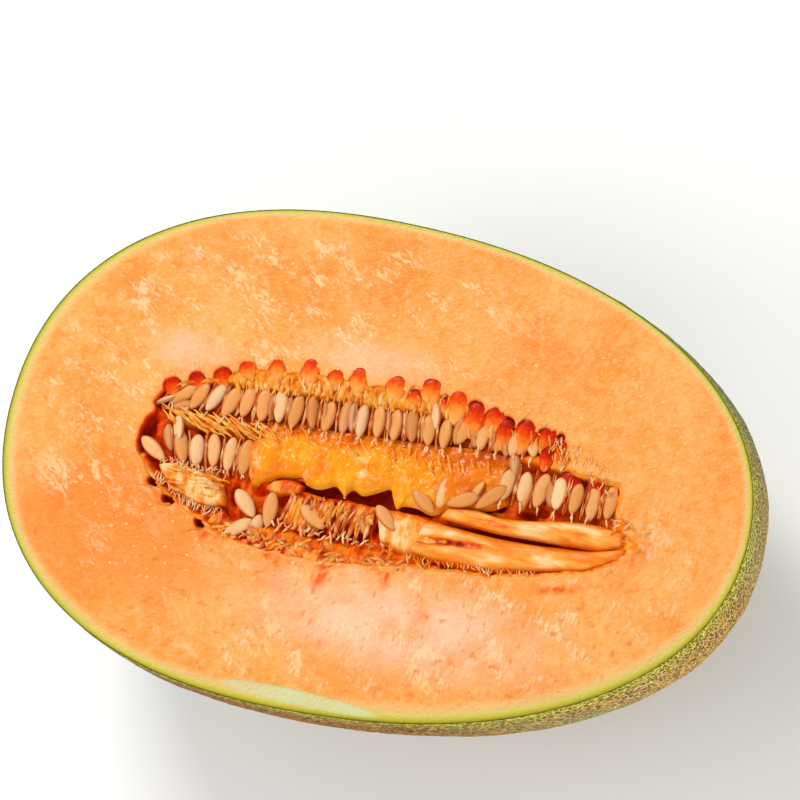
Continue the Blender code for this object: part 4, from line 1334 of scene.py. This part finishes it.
# %% Threads round the torn lobe
for share in np.linspace(0, 1, 40):
    x, y = -67 + 24 * share, -15 - 8.0 * math.sin(1.9 * share)
    start = (x, y + 1.0, -1.6)
    end = (x + rng.uniform(-1.5, 1.5), y - rng.uniform(0.6, 2.4), -1.2)
    line("white_thread", start, end, rng.uniform(0.14, 0.3), rng.uniform(-0.5, 0.5), 0.3)
for _ in range(26):
    x, y = rng.uniform(-64, -50), rng.uniform(-20, -11)
    end = (x + rng.uniform(5, 11), y - rng.uniform(0, 2), -1.0)
    kind = "fibre" if rng.random() < 0.6 else "white_thread"
    line(kind, (x, y, -0.9), end, rng.uniform(0.2, 0.6), rng.uniform(-0.8, 0.8), 0.7, 10)
for x in np.arange(-68, -45, 0.8):
    start = (x, -9.4 + rng.uniform(-0.8, 0.6), -1.4)
    line(
        "white_thread",
        start,
        (x + rng.uniform(-2.5, 1.5), -11 + rng.uniform(-1, 0.6), -0.9),
        rng.uniform(0.14, 0.34),
    )
print({kind: len(made) for kind, made in lines.items()})

# %% Short strands at the right end, and fibres over the jelly
for _ in range(24):
    x, y = rng.uniform(80, 91), rng.uniform(-8, -1.5)
    kind = "fibre" if rng.random() < 0.5 else "white_thread"
    line(kind, (x, y, -0.4), (x + rng.uniform(-1, 4), y + rng.uniform(-1, 3), 0.1), rng.uniform(0.12, 0.3))
for _ in range(60):
    x = rng.uniform(56, 78)
    y = 15.5 - 0.42 * (x - 60) + rng.uniform(-3.5, 3)
    kind = "fibre" if rng.random() < 0.6 else "white_thread"
    line(
        kind,
        (x, y, -0.5),
        (x + rng.uniform(-1.5, 1.5), y + rng.uniform(1, 3), 0.15),
        rng.uniform(0.12, 0.35),
    )
for x in np.arange(-37, 46, 2.6):
    start = (x + rng.uniform(-1, 1), rng.uniform(4, 9), -1.9)
    end = (x + rng.uniform(1, 7), rng.uniform(-2, 4), -1.6)
    line("fibre", start, end, rng.uniform(0.25, 0.6), rng.uniform(-1.2, 1.2), 0.3, 10)
print({kind: len(made) for kind, made in lines.items()})

# %% [markdown]
# ## The finish of the strands
#
# All three are wet plant tissue, so light soaks into them and they glow a little at their edges.
# Membranes are dark orange where they are thin, fibres are bright orange, and threads nearly white.
# They differ only in numbers, so a table and a loop make all three.

# %% Finishes of the strands
STRANDS = {
    # kind: material, roughness, how far red, green and blue soak in, pattern size in mm, colours
    "membrane": (
        "membrane", 0.3, (2, 0.7, 0.2), 3.5,
        [(0.3, "#B03406"), (0.45, "#D0601A"), (0.6, "#E49A54"), (0.75, "#F4C890")],
    ),
    "fibre": (
        "orange_fibre", 0.34, (3, 1, 0.3), 2.4,
        [(0.3, "#E66A0A"), (0.45, "#F28A1E"), (0.6, "#F8A640"), (0.78, "#FBC886")],
    ),
    "white_thread": (
        "white_thread", 0.35, (2, 1.2, 0.6), 2.0,
        [(0.3, "#EC9C50"), (0.5, "#F4BC80"), (0.72, "#FBE0B8")],
    ),
}
strand_finishes = {}
for kind, (name, roughness, soak_mm, pattern_mm, stops) in STRANDS.items():
    finish, tree, shader, where = start_material(name, roughness, soft=0.3, soft_mm=soak_mm, wet=0.08)
    tone_inputs = {"Vector": where, "Scale": mm(pattern_mm)}
    tone_place = add(tree, "ShaderNodeMapping", tone_inputs, vector_type="TEXTURE").outputs[0]
    tone = add(tree, "ShaderNodeTexNoise", {"Vector": tone_place, "Scale": 1.0, "Detail": 2.0})
    colour = add(tree, "ShaderNodeValToRGB", {"Fac": tone.outputs["Fac"]}, stops=stops).outputs[0]
    tree.links.new(colour, shader.inputs["Base Color"])
    strand_finishes[kind] = finish
print("strand finishes", list(strand_finishes))


# %% A Geometry Nodes tree that thickens lines into strands
def strand_tree(material, sides):
    """Mesh lines with a thick attribute become round strands of that material."""
    group = bpy.data.node_groups.new("thicken_lines", "GeometryNodeTree")
    group.interface.new_socket("Lines", in_out="INPUT", socket_type="NodeSocketGeometry")
    group.interface.new_socket("Thickness", in_out="INPUT", socket_type="NodeSocketFloat")
    group.interface.new_socket("Strands", in_out="OUTPUT", socket_type="NodeSocketGeometry")
    start, end = group.nodes.new("NodeGroupInput"), group.nodes.new("NodeGroupOutput")
    curve = add(group, "GeometryNodeMeshToCurve", {"Mesh": start.outputs["Lines"]})
    thick = add(group, "GeometryNodeInputNamedAttribute", {"Name": "thick"}, data_type="FLOAT")
    scale = add(
        group, "ShaderNodeMath", {0: thick.outputs[0], 1: start.outputs["Thickness"]}, operation="MULTIPLY"
    )
    ring = add(group, "GeometryNodeCurvePrimitiveCircle", {"Resolution": sides, "Radius": 1.0})
    inputs = {
        "Curve": curve.outputs[0],
        "Profile Curve": ring.outputs[0],
        "Scale": scale.outputs[0],
        "Fill Caps": True,
    }
    skin = add(group, "GeometryNodeCurveToMesh", inputs)
    smooth = add(group, "GeometryNodeSetShadeSmooth", {"Geometry": skin.outputs[0]})
    whole = add(group, "GeometryNodeRealizeInstances", {"Geometry": smooth.outputs[0]})
    coated = add(group, "GeometryNodeSetMaterial", {"Geometry": whole.outputs[0], "Material": material})
    group.links.new(coated.outputs[0], end.inputs["Strands"])
    return group


def grown(name, holder, group, values):
    """Runs a tree on a holder object, keeps the result as a plain mesh, and puts it on the fruit."""
    modifier = holder.modifiers.new("grow", "NODES")
    modifier.node_group = group
    for item in group.interface.items_tree:
        if item.in_out == "INPUT" and item.name in values:
            modifier[item.identifier] = values[item.name]
    mesh = bpy.data.meshes.new_from_object(holder.evaluated_get(bpy.context.evaluated_depsgraph_get()))
    mesh.name = name
    bpy.data.objects.remove(holder)
    piece = bpy.data.objects.new(name, mesh)
    bpy.context.scene.collection.objects.link(piece)
    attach(piece, "root")
    print(f"{name}: {len(mesh.polygons)} faces")
    return piece


# %% Grow the strands
for kind, material in strand_finishes.items():
    points = np.vstack([path for path, _ in lines[kind]]) * 0.001 + [0, 0, CUT_HEIGHT * 0.001]
    thick = np.concatenate([t for _, t in lines[kind]]) * 0.001
    edges, start = [], 0
    for path, _ in lines[kind]:
        edges += [(start + i, start + i + 1) for i in range(len(path) - 1)]
        start += len(path)
    mesh = bpy.data.meshes.new(kind + "_lines")
    mesh.from_pydata(points.tolist(), edges, [])
    layer = mesh.attributes.new("thick", "FLOAT", "POINT")
    layer.data.foreach_set("value", thick.astype(np.float32))
    holder = bpy.data.objects.new(kind + "_lines", mesh)
    bpy.context.scene.collection.objects.link(holder)
    piece = grown(kind + "s", holder, strand_tree(material, 6), {"Thickness": 1.0})

# %% [markdown]
# ## Beads of juice
#
# A fresh cut weeps. Small flat beads of juice stand on the flesh and on the jelly, and their shine is
# much of what makes the fruit look wet. They are scattered over a surface with a fixed seed, so a
# Geometry Nodes tree does it: points on faces, a flattened ball on each, and a size at random.


# %% A Geometry Nodes tree that scatters beads
def bead_tree(material, number):
    """Flat beads of that material scattered over a surface, with number as their random seed."""
    group = bpy.data.node_groups.new("scatter_beads", "GeometryNodeTree")
    group.interface.new_socket("Surface", in_out="INPUT", socket_type="NodeSocketGeometry")
    group.interface.new_socket("Beads per square metre", in_out="INPUT", socket_type="NodeSocketFloat")
    group.interface.new_socket("Bead radius", in_out="INPUT", socket_type="NodeSocketFloat")
    group.interface.new_socket("Beads", in_out="OUTPUT", socket_type="NodeSocketGeometry")
    start, end = group.nodes.new("NodeGroupInput"), group.nodes.new("NodeGroupOutput")
    inputs = {
        "Mesh": start.outputs["Surface"],
        "Density": start.outputs["Beads per square metre"],
        "Seed": number,
    }
    spots = add(group, "GeometryNodeDistributePointsOnFaces", inputs)
    ball = add(
        group, "GeometryNodeMeshIcoSphere", {"Radius": start.outputs["Bead radius"], "Subdivisions": 2}
    )
    spread = add(group, "FunctionNodeRandomValue", {"Seed": number}, data_type="FLOAT_VECTOR")
    spread.inputs["Min"].default_value = (0.3, 0.3, 0.15)
    spread.inputs["Max"].default_value = (1.3, 1.0, 0.5)
    inputs = {
        "Points": spots.outputs["Points"],
        "Instance": ball.outputs["Mesh"],
        "Rotation": spots.outputs["Rotation"],
        "Scale": spread.outputs["Value"],
    }
    placed = add(group, "GeometryNodeInstanceOnPoints", inputs)
    smooth = add(group, "GeometryNodeSetShadeSmooth", {"Geometry": placed.outputs[0]})
    whole = add(group, "GeometryNodeRealizeInstances", {"Geometry": smooth.outputs[0]})
    coated = add(group, "GeometryNodeSetMaterial", {"Geometry": whole.outputs[0], "Material": material})
    group.links.new(coated.outputs[0], end.inputs["Beads"])
    return group


# %% [markdown]
# ## The finish of the juice
#
# Real beads are clear syrup. These are so small that they would only show as dark dots, so they are
# given the flesh's own colour and a sharp gloss, and the eye sees their glint.

# %% Finish of the juice: thin orange syrup
juice, tree, shader, where = start_material("melon_juice", 0.08, ior=1.345, wet=0.3, sheen=0.5)
film_place = add(
    tree, "ShaderNodeMapping", {"Vector": where, "Scale": mm(0.8)}, vector_type="TEXTURE"
).outputs[0]
film = add(tree, "ShaderNodeTexNoise", {"Vector": film_place, "Scale": 1.0}).outputs["Fac"]
colour = add(tree, "ShaderNodeValToRGB", {"Fac": film}, stops=[(0.3, "#FFB050"), (0.7, "#FFC884")]).outputs[0]
tree.links.new(colour, shader.inputs["Base Color"])


# %% Scatter the beads
def wet_faces(name, piece, wanted):
    """A copy of the faces of a piece whose middles pass a test, to scatter beads on."""
    shape = bmesh.new()
    shape.from_mesh(piece.data)
    dry = [face for face in shape.faces if not wanted(face.calc_center_median(), face.normal)]
    bmesh.ops.delete(shape, geom=dry, context="FACES")
    mesh = bpy.data.meshes.new(name)
    shape.to_mesh(mesh)
    shape.free()
    holder = bpy.data.objects.new(name, mesh)
    bpy.context.scene.collection.objects.link(holder)
    return holder


def on_open_flesh(middle, normal):
    """True on the flat flesh behind a slanting line, well inside the rim."""
    upper_part = middle.x * 0.5 - middle.y < 0.03
    inside_rim = math.hypot(middle.x, middle.y * 1.5) < 0.105
    return normal.z > 0.7 and upper_part and inside_rim


holder = wet_faces("wet_flesh", flesh, on_open_flesh)
beads = grown(
    "juice_on_flesh",
    holder,
    bead_tree(juice, 3),
    {"Beads per square metre": 42000.0, "Bead radius": 0.0005},
)
holder = wet_faces("wet_jelly", jelly, lambda middle, normal: normal.z > 0.6)
beads = grown(
    "juice_on_jelly",
    holder,
    bead_tree(juice, 4),
    {"Beads per square metre": 20000.0, "Bead radius": 0.0004},
)

# %% [markdown]
# ## Floor, light and camera
#
# A wet cut face looks best under large soft lights: one above and behind, so that its shine lands on
# the flecks, and one low at the side to draw out the relief. The world is pale, so that the shadows
# stay open. The camera looks down steeply and is rolled a little, which lays the fruit slantwise.

# %% Floor
# Matt white paper scatters light evenly, so the shadow on it is soft and grey.
floor_mesh = bpy.data.meshes.new("floor")
SIDE = 3.0
floor_mesh.from_pydata(
    [(-SIDE, -SIDE, 0), (SIDE, -SIDE, 0), (SIDE, SIDE, 0), (-SIDE, SIDE, 0)], [], [(0, 1, 2, 3)]
)
floor = bpy.data.objects.new("floor", floor_mesh)
bpy.context.scene.collection.objects.link(floor)
floor_paper, tree, shader, where = start_material("white_paper", 0.8, ior=1.45)
shader.inputs["Base Color"].default_value = paint("#F4F3F1")
floor_mesh.materials.append(floor_paper)


# %% Lights
def soft_light(name, place, size, watts):
    """A square soft light that faces the middle of the cut face."""
    lamp = bpy.data.lights.new(name, "AREA")
    lamp.shape, lamp.size, lamp.energy = "SQUARE", size, watts
    holder = bpy.data.objects.new(name, lamp)
    bpy.context.scene.collection.objects.link(holder)
    holder.location = place
    toward = Vector((0, 0, CUT_HEIGHT * 0.001)) - Vector(place)
    holder.rotation_euler = toward.to_track_quat("-Z", "Y").to_euler()
    return holder


# Places and sizes are in metres, and strengths in watts.
soft_light("light_behind", (-0.45, 0.65, 0.95), 0.4, 8.0)
soft_light("light_side", (-0.85, -0.3, 0.6), 0.5, 3)
soft_light("light_front", (0.75, -0.85, 0.5), 0.8, 5.6)
soft_light("light_low", (1.0, -0.4, 0.09), 0.12, 2.6)
world = bpy.data.worlds.new("pale_room")
world.use_nodes = True
world.node_tree.nodes["Background"].inputs["Color"].default_value = (1, 1, 1, 1)
world.node_tree.nodes["Background"].inputs["Strength"].default_value = 0.56
bpy.context.scene.world = world
bpy.context.scene.view_settings.view_transform = "Standard"

# %% Camera
# TILT is the angle down from straight above, ROUND the side it looks from, and ROLL its turn, all in
# radians. The aim is moved off the middle by small shares of the view, which frames the fruit.
TILT, ROUND, ROLL = 0.3563, -0.4332, 0.2432
AIM_RIGHT, AIM_UP = 0.008935, 0.03005
DISTANCE = 0.8
LENS_MM, SENSOR_MM = 114.07, 36.0
middle = Vector((0, 0, (CUT_HEIGHT - CUT_ABOVE_AXIS) * 0.001))
back = Vector((math.sin(TILT) * math.cos(ROUND), math.sin(TILT) * math.sin(ROUND), math.cos(TILT)))
forward = -back
right = forward.cross(Vector((0, 1, 0))).normalized()
up = right.cross(forward)
rolled = math.cos(ROLL) * right + math.sin(ROLL) * up
upright = -math.sin(ROLL) * right + math.cos(ROLL) * up
aim = (forward + AIM_RIGHT * rolled + AIM_UP * upright).normalized()
sideways = (rolled - rolled.dot(aim) * aim).normalized()
upward = sideways.cross(aim)
lens = bpy.data.cameras.new("camera")
lens.lens, lens.sensor_width = LENS_MM, SENSOR_MM
camera = bpy.data.objects.new("camera", lens)
bpy.context.scene.collection.objects.link(camera)
turned = Matrix((sideways, upward, -aim)).transposed().to_4x4()
camera.matrix_world = Matrix.Translation(middle + DISTANCE * back) @ turned
bpy.context.scene.camera = camera
print("camera at", tuple(round(c, 3) for c in camera.location))
